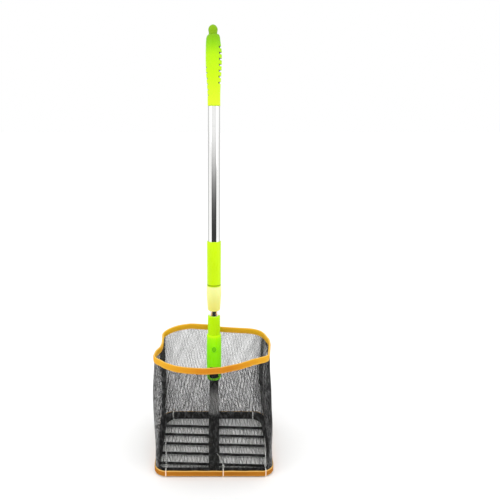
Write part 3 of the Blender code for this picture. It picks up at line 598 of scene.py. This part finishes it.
# How far the netting stands outside the straight line from base to rim: (angle, in its lower half,
# in its upper half).
BELLY = (
    (-90, 0.0, 0.0), (-60, 0.0, -0.002), (-44, 0.001, -0.007), (-30, 0.0065, 0.001),
    (-15, 0.0065, 0.003), (2, 0.005, 0.001), (20, -0.002, -0.004), (42, -0.006, -0.006),
    (70, 0.0, 0.0), (90, 0.0, 0.0),
    (115, 0.0, 0.0), (138, -0.003, -0.003), (155, -0.001, -0.001), (172, -0.0025, -0.0025),
    (186, -0.0055, -0.006), (195, 0.0035, 0.003), (205, 0.005, 0.0045), (216, 0.0015, -0.002),
    (226, -0.002, -0.006), (240, 0.0, -0.002),
)


def periodic(table, angle, column=1):
    """Read a column of a table at an angle, smoothly and round the loop."""
    keys = np.array([row[0] for row in table], float)
    values = np.array([row[column] for row in table], float)
    keys = np.concatenate([keys - 360, keys, keys + 360])
    values = np.tile(values, 3)
    angle = np.mod(np.asarray(angle) + 180, 360) - 180
    fine = np.linspace(-400, 400, 1601)
    line = np.interp(fine, keys, values)
    kernel = np.hanning(17)
    line = np.convolve(line, kernel / kernel.sum(), mode="same")
    return np.interp(angle, fine, line)


RIM_HALF = (RIM_HIGH.x - RIM_INSET, (RIM_HIGH.y - RIM_LOW.y) / 2 - RIM_INSET)
RIM_MID_Y = (RIM_HIGH.y + RIM_LOW.y) / 2
RIM_MID_Z = (RIM_HIGH.z + RIM_LOW.z) / 2
BASE_HALF = (RING_HIGH.x + NET_OUTSIDE, RING_HIGH.y + NET_OUTSIDE)


def rim_at(u):
    """Points of the rim as it stands, and their outward directions."""
    x, y, nx, ny = rounded(u, *RIM_HALF, RIM_MID_Y, RIM_CORNER)
    angle = np.degrees(np.arctan2(y, x))
    out, up = periodic(RIM_DRIFT, angle), periodic(RIM_DRIFT, angle, 2)
    return x + nx * out, y + ny * out, RIM_MID_Z + up, nx, ny


def bag(low, high, t):
    """Point and outward direction on the bag. low and high are places round the base loop and
    the rim loop, and t is 0 at the base and 1 at the rim."""
    low, high, t = np.broadcast_arrays(*(np.asarray(v, float) for v in (low, high, t)))
    x0, y0, nx0, ny0 = rounded(low, *BASE_HALF, 0.0, RING_CORNER)
    x1, y1, z1, nx1, ny1 = rim_at(high)
    z = NET_BASE_Z + (z1 + NET_TUCK - NET_BASE_Z) * t
    s = np.clip((z - NET_STRAIGHT_Z) / (z1 - NET_UPRIGHT - NET_STRAIGHT_Z), 0.0, 1.0)
    x, y = x0 + (x1 - x0) * s, y0 + (y1 - y0) * s
    nx, ny = nx0 + (nx1 - nx0) * s, ny0 + (ny1 - ny0) * s
    length = np.hypot(nx, ny)
    nx, ny = nx / length, ny / length
    belly = np.sin(math.pi * s)
    angle = np.degrees(np.arctan2(y, x))
    out = belly * (periodic(BELLY, angle) * (1 - s) + periodic(BELLY, angle, 2) * s)
    # slack in the netting: long upright folds under the rim and soft dents lower down
    fold = np.sin(high * 2 * math.pi * 23 + 2.0 * np.sin(high * 2 * math.pi * 5 + 1.0))
    dent = np.sin(high * 2 * math.pi * 9 + 4.0 * s) * np.sin(5.0 * s + high * 13.0)
    out = out + FOLD_SIZE * fold * belly * s ** 1.5 + DENT_SIZE * dent * belly
    return np.stack([x + nx * out, y + ny * out, z], -1), np.stack([nx, ny, np.zeros_like(nx)], -1)


SEAM_RIGHT = SIDE_SHARE / 2 + CORNER_SHARE * 15 / 90
SEAM_LEFT = 0.5 - SEAM_RIGHT


def evenly(loop, start, end, share):
    """Places on a loop that split the stretch from start to end evenly, by length."""
    fine = np.linspace(start, end, 4000)
    x, y = loop(fine)[:2]
    run = lengths(np.stack([x, y], -1))
    return np.interp(np.asarray(share) * run[-1], run, fine)


def waves(count, across, along, size, seed):
    """Random slanting ripples: (waves per metre across and along, amplitude, phase)."""
    local = np.random.default_rng(seed)
    return [(math.tau / local.uniform(*across), math.tau / local.uniform(*along) * local.choice((-1, 1)),
             size * local.uniform(0.5, 1.0), local.uniform(0, math.tau)) for _ in range(count)]


LOOSE = waves(4, (0.02, 0.05), (0.04, 0.12), 0.0006, 6)
WRAP_BUNCHING = waves(9, (0.0045, 0.0085), (0.012, 0.04), 0.00032, 5) + LOOSE
BACK_BUNCHING = waves(9, (0.0045, 0.0085), (0.012, 0.04), 0.00014, 8) + LOOSE


def net_threads(start, end, length, bunching):
    """Middles and outward directions of a knitted net's strands, which zigzag and meet in turn."""
    strands, rows = int(round(length / STRAND)), int(round(NET_HEIGHT / ROW))
    k = np.arange(strands + 1)[:, None]
    j = np.arange(rows + 1)[None, :]
    reach = 0.5 - NET_R * 0.75 / STRAND
    column = k + np.where((k + j) % 2 == 0, reach, -reach) + rng.normal(0, 0.04, (strands + 1, rows + 1))
    for across, along, size, phase in bunching:
        column = column + size / STRAND * np.sin(across * k * STRAND + along * j * ROW + phase)
    share = np.clip(column / strands, 0.0, 1.0)
    t = np.broadcast_to(j / rows, share.shape)
    low = evenly(lambda u: rounded(u, *BASE_HALF, 0.0, RING_CORNER), start, end, share)
    high = evenly(rim_at, start, end, share)
    point, out = bag(low, high, t)
    return point + out * rng.normal(0, 0.00005, share.shape)[..., None], out


def net_mesh(name, point, out, cad):
    """Give strands a three-sided section and make them one mesh."""
    ahead = unit(np.gradient(point, axis=1))
    across = unit(np.cross(out, ahead))
    out = np.cross(ahead, across)
    turns = [math.tau * i / 3 + math.pi / 2 for i in range(3)]
    verts = np.stack([point + NET_R * (across * math.cos(a) + out * math.sin(a)) for a in turns], 2)
    n, m = verts.shape[:2]
    strand = tube_faces(m, 3)
    faces = [[start + v for v in face] for start in range(0, n * m * 3, m * 3) for face in strand]
    obj = new_object(name, verts.reshape(-1, 3).tolist(), faces, LOOKS["net"])
    return replace(obj, "base", "netting", cad)


WRAP_LENGTH = 0.617
BACK_LENGTH = 0.236


wrap_point, wrap_out = net_threads(SEAM_LEFT, 1.0 + SEAM_RIGHT, WRAP_LENGTH, WRAP_BUNCHING)
back_point, back_out = net_threads(SEAM_RIGHT, SEAM_LEFT, BACK_LENGTH, BACK_BUNCHING)
thirds = np.array_split(np.arange(len(wrap_point)), 3)
for part, strands in zip(("left", "front", "right"), thirds):
    third = net_mesh(f"net_wrap_{part}", wrap_point[strands], wrap_out[strands], "net_wrap")
net_mesh("net_back_threads", back_point, back_out, "net_back")


# ---- bindings, wire, seam tapes ----
def rim_path(count):
    """Points along the rim, with their outward and upward directions."""
    path = np.stack(rim_at(np.linspace(0, 1, count, endpoint=False))[:3], -1)
    ahead = unit(np.roll(path, -1, 0) - np.roll(path, 1, 0))
    side = unit(np.cross(ahead, (0, 0, 1)))
    return path, side, np.cross(side, ahead)


RIM_COUNT = 360
path, side, up = rim_path(RIM_COUNT)
FOLD = np.array([(1.25, -6.0), (1.75, -2.0), (2.05, 2.6), (1.75, 4.7), (0.9, 5.8), (0.0, 6.15), (-0.9, 5.8),
                 (-1.75, 4.7), (-2.05, 2.6), (-1.75, -2.0), (-1.25, -6.0), (-0.45, -6.0), (-0.75, -1.0),
                 (-1.15, 2.8), (0.0, 4.6), (1.15, 2.8), (0.75, -1.0), (0.45, -6.0)]) * 0.001
u = np.linspace(0, 2 * math.pi, RIM_COUNT, endpoint=False)
pucker = 0.00022 * np.sin(u * 61 + np.sin(u * 7)) + 0.00015 * np.sin(u * 97)
drop = 0.0003 * np.sin(u * 41 + 2 * np.sin(u * 3))
folded = np.broadcast_to(FOLD, (RIM_COUNT, *FOLD.shape)).copy()
legs = FOLD[:, 1] < -1.5
folded[:, legs, 0] += np.sign(FOLD[legs, 0]) * pucker[:, None]
folded[:, legs, 1] += drop[:, None]
# painted highlight on the fold's crest, and a woven edge along the legs' lower edges
CREST_HIGHLIGHT_AND_SELVEDGE = np.where(FOLD[:, 1] > 0.005, 0.5, np.where(FOLD[:, 1] < -0.005, 0.2, 0.0))
binding = sweep("binding_top_tape", path, side, folded, LOOKS["orange"], up=up, edge=CREST_HIGHLIGHT_AND_SELVEDGE)
replace(binding, "base", "binding", "binding_top")

WIRE_R, WIRE_LIFT = 0.0008, 0.0031
WIRE = [(WIRE_R * math.cos(a), WIRE_LIFT + WIRE_R * math.sin(a)) for a in math.tau * np.arange(8) / 8]
wire = sweep("rim_wire_bent", path, side, WIRE, LOOKS["steel"], up=up, crease=None)
replace(wire, "base", "rim_steel", "rim_wire")


STITCH_PITCH = 0.0034
STITCH_HALF, STITCH_SPREAD, STITCH_RISE = 0.0011, 0.00034, 0.00026
STITCH = ((-1, 0, 0), (-0.55, 0.8, 0.7), (0.55, 0.8, 0.7), (1, 0, 0), (0.55, -0.8, 0.7),
          (-0.55, -0.8, 0.7), (0, 0, 1.15))
STITCH_FACES = ((0, 1, 6), (1, 2, 6), (2, 3, 6), (3, 4, 6), (4, 5, 6), (5, 0, 6), (0, 5, 4, 3, 2, 1))


def stitches(name, path, side, up, lift, face):
    """A row of small stitches on a face of a swept tape."""
    lines = [np.vstack([line, line[:1]]) for line in (path, side, up)]
    along = lengths(lines[0])
    count = int(along[-1] / STITCH_PITCH)
    verts, faces = [], []
    for i in range(count):
        at = (i + 0.5) * along[-1] / count
        p, s, w = (np.array([np.interp(at, along, line[:, k]) for k in range(3)]) for line in lines)
        a = np.cross(w, s)
        faces += [tuple(len(verts) + v for v in corners) for corners in STITCH_FACES]
        middle_lift = lift + random.uniform(-0.00012, 0.00012)
        for x, y, z in STITCH:
            verts.append(p + s * (face + math.copysign(z * STITCH_RISE, face))
                         + w * (middle_lift + y * STITCH_SPREAD) + a * (x * STITCH_HALF))
    obj = outward(new_object(name, verts, faces, LOOKS["orange_thread"], crease=50))
    replace(obj, "base", "binding")


RIM_STITCH_LIFT, RIM_STITCH_OUT = -0.0042, 0.00152
stitches("rim_stitches_outside", path, side, up, RIM_STITCH_LIFT, RIM_STITCH_OUT)
stitches("rim_stitches_inside", path, side, up, RIM_STITCH_LIFT, -RIM_STITCH_OUT)


def base_path(count, out):
    """Points round the ring, `out` outside it, with their outward and upward directions."""
    u = np.linspace(0, 1, count, endpoint=False)
    x, y, nx, ny = rounded(u, RING_HIGH.x, RING_HIGH.y, 0.0, RING_CORNER)
    n = np.stack([nx, ny, np.zeros_like(nx)], -1)
    path = np.stack([x, y, np.zeros_like(x)], -1) + n * out
    return path, n, np.broadcast_to((0.0, 0.0, 1.0), n.shape)


BAND_COUNT = 320
low, high = BAND_LOW.z, BAND_HIGH.z
path, side, up = base_path(BAND_COUNT, BAND_HIGH.x - RING_HIGH.x - BAND_T)
u = np.linspace(0, 2 * math.pi, BAND_COUNT, endpoint=False)
edge = 0.0004
OUTLINE = np.array([(0.0, low + edge), (edge, low), (BAND_T - edge, low), (BAND_T, low + edge),
                    (BAND_T - 0.0001, low + 0.0022), (BAND_T + 0.00015, (low + high) / 2),
                    (BAND_T - 0.0001, high - 0.0022), (BAND_T, high - edge * 1.5), (BAND_T - edge, high),
                    (edge, high), (0.0, high - edge)])
band = np.broadcast_to(OUTLINE, (BAND_COUNT, *OUTLINE.shape)).copy()
outer = OUTLINE[:, 0] > BAND_T / 2
band[:, outer, 0] += (0.00014 * np.sin(u * 57 + np.sin(u * 5)))[:, None]
top = OUTLINE[:, 1] > (low + high) / 2
band[:, top, 1] += (0.00022 * np.sin(u * 23 + 2 * np.sin(u * 4)))[:, None] - 0.0002
# the band's top edge and, less, its foot: woven edge and painted highlight
SELVEDGE_AND_HIGHLIGHT = np.where(OUTLINE[:, 1] > high - 0.001, 0.8, np.where(OUTLINE[:, 1] < low + 0.0005, 0.4, 0.0))
bottom_binding = sweep("binding_bottom_tape", path, side, band, LOOKS["orange_shaded"], up=up, edge=SELVEDGE_AND_HIGHLIGHT)
replace(bottom_binding, "base", "binding", "binding_bottom")
BAND_STITCH_IN, BAND_STITCH_OUT = 0.0017, BAND_T + 0.00005
stitches("band_stitches_top", path, side, up, high - BAND_STITCH_IN, BAND_STITCH_OUT)
stitches("band_stitches_low", path, side, up, low + BAND_STITCH_IN, BAND_STITCH_OUT)


SEAM_FOOT, SEAM_TOP = 0.075, 0.965  # shares of the netting's height
SEAM_HALF, SEAM_T, SEAM_LIFT = 0.0062, 0.0009, 0.0008


def seam_tape(name, at, cad):
    """A tape over the seam, with turned edges and a low ridge down its middle."""
    rows = 60
    t = np.linspace(SEAM_FOOT, SEAM_TOP, rows)
    point, out = bag(np.full(rows, at), np.full(rows, at), t)
    ahead = unit(np.gradient(point, axis=0))
    across = unit(np.cross(ahead, out))
    out = np.cross(across, ahead)
    half, thick = SEAM_HALF, SEAM_T
    section = np.array([(-half, 0.0), (-half, thick * 0.8), (-half + 0.0006, thick),
                        (-0.002, thick * 0.85), (0.0, thick * 1.25), (0.002, thick * 0.85),
                        (half - 0.0006, thick), (half, thick * 0.8), (half, 0.0), (0.0, -0.0002)])
    wob = np.sin(np.linspace(0, 31, rows))[:, None] * 0.00025
    sections = np.broadcast_to(section, (rows, *section.shape)).copy()
    sections[..., 0] += wob
    ribbon = sweep(name, point + out * SEAM_LIFT, across, sections, LOOKS["seam"], up=out,
                   closed=False)
    replace(ribbon, "base", "seam_tape", cad)


seam_tape("seam_tape_right_sewn", SEAM_RIGHT, "seam_tape_right")
seam_tape("seam_tape_left_sewn", SEAM_LEFT, "seam_tape_left")


# ---- elastic cords ----
BRAID_LAY = 0.0052  # length of one turn of the braid
CORD_POINTS, CORD_SIDES = 260, 16


def braided_cord(name, cad, seed):
    """A braided cord along its CAD rod, wandering a little where nothing holds it."""
    low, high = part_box(cad)
    r = (high.z - low.z) / 2
    skew = (high.y - low.y) / 2 - r
    a = np.array([low.x, (low.y + high.y) / 2 + skew, (low.z + high.z) / 2])
    b = np.array([high.x, (low.y + high.y) / 2 - skew, (low.z + high.z) / 2])
    s = np.linspace(0, 1, CORD_POINTS)
    line = a + (b - a) * s[:, None]
    local = np.random.default_rng(seed)
    off = np.abs(s - 0.5)
    clear = np.minimum(np.clip((0.5 - off) / 0.06, 0, 1), np.clip((off - 0.06) / 0.05, 0, 1))
    for k in range(1, 5):
        amount, phase = local.normal(0, 0.00022 / k), local.uniform(0, 6.28)
        line[:, 1] += amount * np.sin(s * math.pi * (k * 4 + 1) + phase) * clear
        line[:, 2] += 0.4 * amount * np.sin(s * math.pi * (k * 5) + phase * 2) * clear
    theta = np.arange(CORD_SIDES) * math.tau / CORD_SIDES
    length = np.linalg.norm(b - a)
    phase = s[:, None] * length / BRAID_LAY * math.tau
    weave = np.abs(np.sin(4 * theta[None] + phase)) * np.abs(np.sin(4 * theta[None] - phase))
    radius = r * (0.98 + 0.08 * weave)
    ring = np.stack([np.zeros_like(radius), radius * np.cos(theta), radius * np.sin(theta)], -1)
    verts = line[:, None] + ring
    faces = tube_faces(CORD_POINTS, CORD_SIDES)
    obj = outward(new_object(name, verts.reshape(-1, 3), faces, LOOKS["elastic"]))
    replace(obj, "base", "elastic", cad)


for i in range(1, 6):
    braided_cord(f"braided_cord_{i}", f"elastic_cord_{i}", 30 + i)


# ---- zip ties ----
STRAP_T, STRAP_W = 0.0009, 0.002
HEAD = (0.0038, 0.0034, 0.0034)
RAIL_IN = {-1: (0.0095, 0.012), 1: (0.008, 0.026)}  # rail width and inner corner, by side
SIDE_RAIL = 0.0065
TIE_GAP, RAIL_GAP = 0.0003, 0.0006  # how far the strap stands off the tape and the rail
TIE_FOOT = 0.0007  # middle of the strap below the ring
TIE_FILLET = 0.0012
TOOTH_PITCH = 0.0012


def edge_y(x, side, half_x, half_y, corner):
    """Where an outline with rounded corners crosses x, at the front (-1) or the back (1)."""
    past = max(0.0, abs(x) - (half_x - corner))
    return side * (half_y - corner + math.sqrt(corner ** 2 - past ** 2))


def filleted(points, radius, steps=4):
    """A route with its inner points rounded."""
    points = [np.array(p, float) for p in points]
    route = [points[0]]
    for before, at, after in zip(points, points[1:], points[2:]):
        a, b = before - at, after - at
        cut = min(radius, 0.45 * np.linalg.norm(a), 0.45 * np.linalg.norm(b))
        a, b = at + a / np.linalg.norm(a) * cut, at + b / np.linalg.norm(b) * cut
        for t in np.linspace(0, 1, steps + 1):
            route.append(a * (1 - t) ** 2 + 2 * at * t * (1 - t) + b * t ** 2)
    return np.array(route + [points[-1]])


def spaced(route, pitch):
    """A route's points at an even pitch, how far along each lies, and the route's length."""
    run = lengths(route)
    at = np.arange(0.0, run[-1], pitch)
    return np.stack([np.interp(at, run, route[:, k]) for k in range(3)], 1), at, run[-1]


def zip_tie(spot, x, side, tail, head_outside=False):
    """A toothed strap round the rail, the net and the binding. Its tail leaves the head."""
    band_corner = RING_CORNER + BAND_HIGH.x - RING_HIGH.x
    rail, corner = RAIL_IN[side]
    face = edge_y(x, side, BAND_HIGH.x, BAND_HIGH.y, band_corner) + side * (TIE_GAP + STRAP_T / 2)
    inner = edge_y(x, side, RING_HIGH.x - SIDE_RAIL, RING_HIGH.y - rail, corner)
    inner -= side * (RAIL_GAP + STRAP_T / 2)
    high = RING_HIGH.z + TIE_GAP + STRAP_T / 2
    start, far = (face, inner) if head_outside else (inner, face)
    inward = math.copysign(TIE_FILLET, far - start)
    head_z = high + STRAP_T / 2 + HEAD[2] / 2
    route = [(x, start + inward, high), (x, far, high), (x, far, TIE_FOOT), (x, start, TIE_FOOT),
             (x, start, head_z + TIE_FILLET)]
    top = np.array(route[-1])
    route += [top + np.array(step) for step in tail]
    path, at, length = spaced(filleted(route, TIE_FILLET), 0.0003)
    ahead = unit(np.gradient(path, axis=0))
    out = unit(np.cross(ahead, (1.0, 0.0, 0.0)))
    across = np.cross(out, ahead)
    tooth = np.where(np.mod(at, TOOTH_PITCH) < TOOTH_PITCH / 2, 0.5, 0.3)
    half = STRAP_W / 2 * np.clip((length - at) / 0.006, 0.35, 1.0)
    edge = 0.0002
    corners = [(-0.5, -1, 0), (-0.5, 1, 0), (0.2, 1, 0), (1.0, 1, -edge), (1.0, -1, edge), (0.2, -1, 0)]
    outline = np.stack([np.stack([np.where(o > 0.5, tooth, o) * STRAP_T, w * half + shift], -1)
                        for o, w, shift in corners], 1)
    strap = sweep(f"tie_{spot}_strap", path, out, outline, LOOKS["nylon"], up=across, closed=False,
                  crease=35)
    replace(strap, "base", "tie_nylon", f"zip_tie_{spot}")
    head = zip_tie_head(f"tie_{spot}_head", (x, start + inward * 0.6, head_z))
    replace(head, "base", "tie_nylon")


def zip_tie_head(name, centre):
    """The moulded head: a rounded block with a slot down into it."""
    wall, sunk_by = 0.00055, 0.0012
    bm = bmesh.new()
    bmesh.ops.create_cube(bm, size=1.0)
    bmesh.ops.scale(bm, vec=HEAD, verts=bm.verts)
    bmesh.ops.translate(bm, vec=centre, verts=bm.verts)
    bmesh.ops.bevel(bm, geom=bm.edges[:], offset=wall, segments=2, affect="EDGES", profile=0.6)
    top = max(bm.faces, key=lambda f: f.calc_center_median().z)
    bmesh.ops.inset_region(bm, faces=[top], thickness=wall)
    pushed = bmesh.ops.extrude_face_region(bm, geom=[top])
    sunk = [v for v in pushed["geom"] if isinstance(v, bmesh.types.BMVert)]
    bmesh.ops.delete(bm, geom=[top], context="FACES_ONLY")
    bmesh.ops.translate(bm, vec=(0, 0, -sunk_by), verts=sunk)
    bmesh.ops.recalc_face_normals(bm, faces=bm.faces)
    mesh = bpy.data.meshes.new(name)
    bm.to_mesh(mesh)
    bm.free()
    return place(name, mesh, LOOKS["nylon"], crease=40)


# each tie's tail is given from just above its head
zip_tie("front_left", -0.0897, -1, [(0.0003, 0.001, 0.03), (-0.0002, 0.003, 0.06)])
zip_tie("front_right", 0.0966, -1, [(-0.0002, 0.0, 0.03), (-0.003, 0.001, 0.058)])
zip_tie("front_middle", 0.0172, -1, [(-0.004, 0.002, 0.012), (-0.0072, 0.003, 0.015),
                                     (-0.0115, 0.004, 0.0215)])
zip_tie("back_left", -0.0905, 1, [(0.0, 0.0, 0.004)], head_outside=True)
zip_tie("back_right", 0.086, 1, [(0.0, 0.0, 0.004)], head_outside=True)


# ---- grip ----
GRIP_SHAPE = (  # height, reach to the left, reach to the right
    (0.6749, 0.0124, 0.0124), (0.697, 0.0126, 0.0123), (0.714, 0.0134, 0.0128), (0.732, 0.0151, 0.014),
    (0.746, 0.0158, 0.0148), (0.76, 0.0161, 0.0152), (0.776, 0.0159, 0.015), (0.788, 0.0156, 0.0132),
    (0.794, 0.0153, 0.0122), (0.8, 0.0146, 0.0116), (0.8035, 0.0131, 0.0107), (0.806, 0.0106, 0.009),
)
GRIP_FOOT = 0.6749
PLUG_R = 0.0108
RIBS = (  # facing (degrees), first slot, pitch, count, depth, slot height, half spread
    (0.0, 0.7186, 0.0108, 7, 0.0042, 0.0042, 52.0),
    (180.0, 0.6952, 0.0102, 6, 0.0016, 0.003, 34.0),
)
SLANT = 0.3  # how far the slots slope down, for their depth
SLOTS_FROM, SLOTS_TO = 0.69, 0.796  # the stretch that needs close levels
FOOT_RISE, FOOT_FADE = 0.0022, 0.006  # how far the foot's edge rises at the front and back
KNOB_HOLE_R, KNOB_HOLE_DEEP = 0.0046, 0.009
TURNS = np.arange(72) * math.tau / 72


def slots(angle, z):
    """The finger slots' depth, the drop of each point by their slant, and its painted shade, 0 to 1."""
    depth, shift, dark = np.zeros_like(z), np.zeros_like(z), np.zeros_like(z)
    for facing, first, pitch, count, deep, tall, spread in RIBS:
        turn = np.abs(np.mod(angle - math.radians(facing) + math.pi, math.tau) - math.pi)
        pad = np.clip((math.radians(spread) - turn) / math.radians(9), 0, 1)
        pad = pad * pad * (3 - 2 * pad)
        cut = np.zeros_like(z)
        for i in range(count):
            fade = (0.55 if i in (0, count - 1) else 0.85 if i in (1, count - 2) else 1.0)
            near = np.clip((tall / 2 - np.abs(z - first - i * pitch)) / (tall * 0.22), 0, 1)
            cut = np.maximum(cut, fade * near * near * (3 - 2 * near))
        depth = depth + deep * pad * cut
        zone = np.clip((z - first + pitch) / pitch, 0, 1) * np.clip((first + count * pitch - z) / pitch, 0, 1)
        shift = shift + SLANT * deep * pad * zone * (1 - cut)
        # painted shade in the slots
        dark = np.maximum(dark, pad * cut)
    return depth, shift, dark


def grip_ring(radius, height, dark):
    """A plain circle of the grip's outline, as points and painted shade."""
    x, y = POLE.x + radius * np.cos(TURNS), POLE.y + radius * np.sin(TURNS)
    return np.stack([x, y, np.full_like(TURNS, height)], -1)[None], np.full((1, len(TURNS)), dark)


def ribbed_grip():
    levels = np.concatenate([np.linspace(GRIP_FOOT, SLOTS_FROM, 14)[:-1],
                             np.linspace(SLOTS_FROM, SLOTS_TO, 236)[:-1],
                             np.linspace(SLOTS_TO, GRIP_HIGH.z, 20)])
    z, a = np.meshgrid(levels, TURNS, indexing="ij")
    table = np.array(GRIP_SHAPE)
    left, right = (np.interp(z, table[:, 0], table[:, k]) for k in (1, 2))
    reach = left + (right - left) * (1 + np.cos(a)) / 2
    depth, shift, shade = slots(a, z)
    lift = FOOT_RISE * np.sin(a) ** 2 * np.clip(1 - (z - GRIP_FOOT) / FOOT_FADE, 0, 1)
    radius = reach - depth
    body = np.stack([POLE.x + radius * np.cos(a), POLE.y + radius * np.sin(a), z - shift + lift], -1)
    plug, end = GRIP_LOW.z, GRIP_HIGH.z
    # the knob hole's rings carry painted shade
    parts = [grip_ring(0.0, plug, 0), grip_ring(PLUG_R, plug, 0),
             grip_ring(PLUG_R, GRIP_FOOT + 0.0012, 0), (body, shade),
             grip_ring(0.008, end, 0), grip_ring(KNOB_HOLE_R, end - 0.0002, 0.6),
             grip_ring(KNOB_HOLE_R, end - KNOB_HOLE_DEEP, 1), grip_ring(0.0, end - KNOB_HOLE_DEEP, 1)]
    rows = np.concatenate([points for points, dark in parts])
    shades = np.concatenate([dark for points, dark in parts])
    obj = new_object("grip_ribbed", rows.reshape(-1, 3), grid_faces(len(rows), len(TURNS), False),
                     LOOKS["grip"], crease=38)
    tag(obj, np.stack([rows[..., 2], np.zeros_like(shades), shades], -1).reshape(-1, 3))
    bm = bmesh.new()
    bm.from_mesh(obj.data)
    bmesh.ops.remove_doubles(bm, verts=bm.verts, dist=1e-6)
    bmesh.ops.recalc_face_normals(bm, faces=bm.faces)
    bm.to_mesh(obj.data)
    bm.free()
    replace(obj, "upper_pole", "grip_plastic", "grip")


ribbed_grip()


# ---- camera, floor, light ----
LENS_PX, FRAME_PX, SENSOR = 560.0, 500.0, 36.0
LOOK_DOWN = 13.0  # degrees
camera = add("camera", bpy.data.cameras.new("camera"))
camera.data.sensor_width = SENSOR
camera.data.lens = LENS_PX / FRAME_PX * SENSOR
camera.data.shift_x = 0.072  # the object stands left of the middle
camera.location = (0.0, -1.0315, 0.647)
camera.rotation_euler = (math.radians(90 - LOOK_DOWN), 0.0, 0.0)
camera.data.clip_start = 0.01
bpy.context.scene.camera = camera
bpy.context.scene.view_settings.view_transform = "Standard"

FLOOR = [(-30, -30, 0), (30, -30, 0), (30, 30, 0), (-30, 30, 0)]
floor = new_object("floor", FLOOR, [(0, 1, 2, 3)], floor_look())
floor.location.z = -0.0002  # just clear of the base
floor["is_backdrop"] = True

world = bpy.data.worlds.new("studio")
bpy.context.scene.world = world
world.use_nodes = True
wn, wl = world.node_tree.nodes, world.node_tree.links
background = wn["Background"]
background.inputs["Color"].default_value = (1.0, 1.0, 1.0, 1)
background.inputs["Strength"].default_value = 1.12  # the camera sees plain white instead
white = wn.new("ShaderNodeBackground")
white.inputs["Color"].default_value = (1, 1, 1, 1)
choose = wn.new("ShaderNodeMixShader")
ray = wn.new("ShaderNodeLightPath")
wl.new(ray.outputs["Is Camera Ray"], choose.inputs[0])
wl.new(background.outputs[0], choose.inputs[1])
wl.new(white.outputs[0], choose.inputs[2])
wl.new(choose.outputs[0], wn["World Output"].inputs["Surface"])


def softbox(name, azimuth, elevation, distance, size, power):
    data = bpy.data.lights.new(name, "AREA")
    data.shape = "RECTANGLE"
    data.size, data.size_y = size
    data.energy = power
    obj = add(name, data)
    a, e = math.radians(azimuth), math.radians(elevation)
    target = Vector((0.0, 0.0, 0.35))
    away = Vector((math.sin(a) * math.cos(e), -math.cos(a) * math.cos(e), math.sin(e)))
    obj.location = target + away * distance
    obj.rotation_euler = away.to_track_quat("Z", "Y").to_euler()


softbox("key", -58, 28, 1.9, (0.9, 1.6), 4)
softbox("fill", 58, 24, 1.9, (0.9, 1.6), 3)
softbox("top", 0, 82, 2.2, (1.6, 1.6), 4)


CARD_FOOT = 0.002


def card_look(name):
    """A plain glow, with its emission node and its node tree."""
    look = bpy.data.materials.new(name)
    look.use_nodes = True
    tree = look.node_tree
    tree.nodes.clear()
    glow = tree.nodes.new("ShaderNodeEmission")
    out = tree.nodes.new("ShaderNodeOutputMaterial")
    tree.links.new(glow.outputs[0], out.inputs["Surface"])
    return look, glow, tree


def studio_card(name, verts, faces, look):
    """A board that only glossy reflections see."""
    card = new_object(name, verts, faces, look)
    card.visible_camera = False
    card.visible_diffuse = False
    card.visible_shadow = False
    card.visible_transmission = False
    card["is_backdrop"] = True


def dark_card():
    """A board behind the camera, dark at its foot, as a studio's dark side is."""
    look, glow, tree = card_look("dark_card")
    coords = tree.nodes.new("ShaderNodeTexCoord")
    split = tree.nodes.new("ShaderNodeSeparateXYZ")
    ramp = tree.nodes.new("ShaderNodeValToRGB")
    stops = ((0.0, 0.03), (0.24, 0.06), (0.38, 0.16), (0.52, 0.36), (0.66, 0.7), (0.85, 1.0))
    fill_ramp(ramp.color_ramp, stops)
    scale = tree.nodes.new("ShaderNodeMapRange")
    scale.inputs["From Max"].default_value = 0.7
    tree.links.new(coords.outputs["Object"], split.inputs[0])
    tree.links.new(split.outputs[2], scale.inputs["Value"])
    tree.links.new(scale.outputs["Result"], ramp.inputs[0])
    tree.links.new(ramp.outputs[0], glow.inputs["Color"])
    x, y, top = 1.35, -1.5, 0.75
    near_x, near_y = 0.5, -0.42
    verts = [(-x, y, CARD_FOOT), (x, y, CARD_FOOT), (x, y, top), (-x, y, top),
             (-near_x, near_y, CARD_FOOT), (near_x, near_y, CARD_FOOT)]
    studio_card("dark_card", verts, [(0, 1, 2, 3), (4, 5, 1, 0)], look)


def grey_cards():
    """Two grey boards behind the object to either side, seen only along the tubes' edges."""
    look, glow, tree = card_look("grey_card")
    glow.inputs["Color"].default_value = (0.42, 0.42, 0.42, 1)
    away, top = 1.3, 1.3
    for name, side in (("grey_card_left", -1), ("grey_card_right", 1)):
        (x0, y0), (x1, y1) = ((side * away * math.sin(a), POLE.y - away * math.cos(a))
                              for a in (math.radians(108), math.radians(140)))
        verts = [(x0, y0, CARD_FOOT), (x1, y1, CARD_FOOT), (x1, y1, top), (x0, y0, top)]
        studio_card(name, verts, [(0, 1, 2, 3)], look)


dark_card()
grey_cards()

for node in ("frame_ring", "spine_post"):
    add_bevel(nodes[node])

low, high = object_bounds()
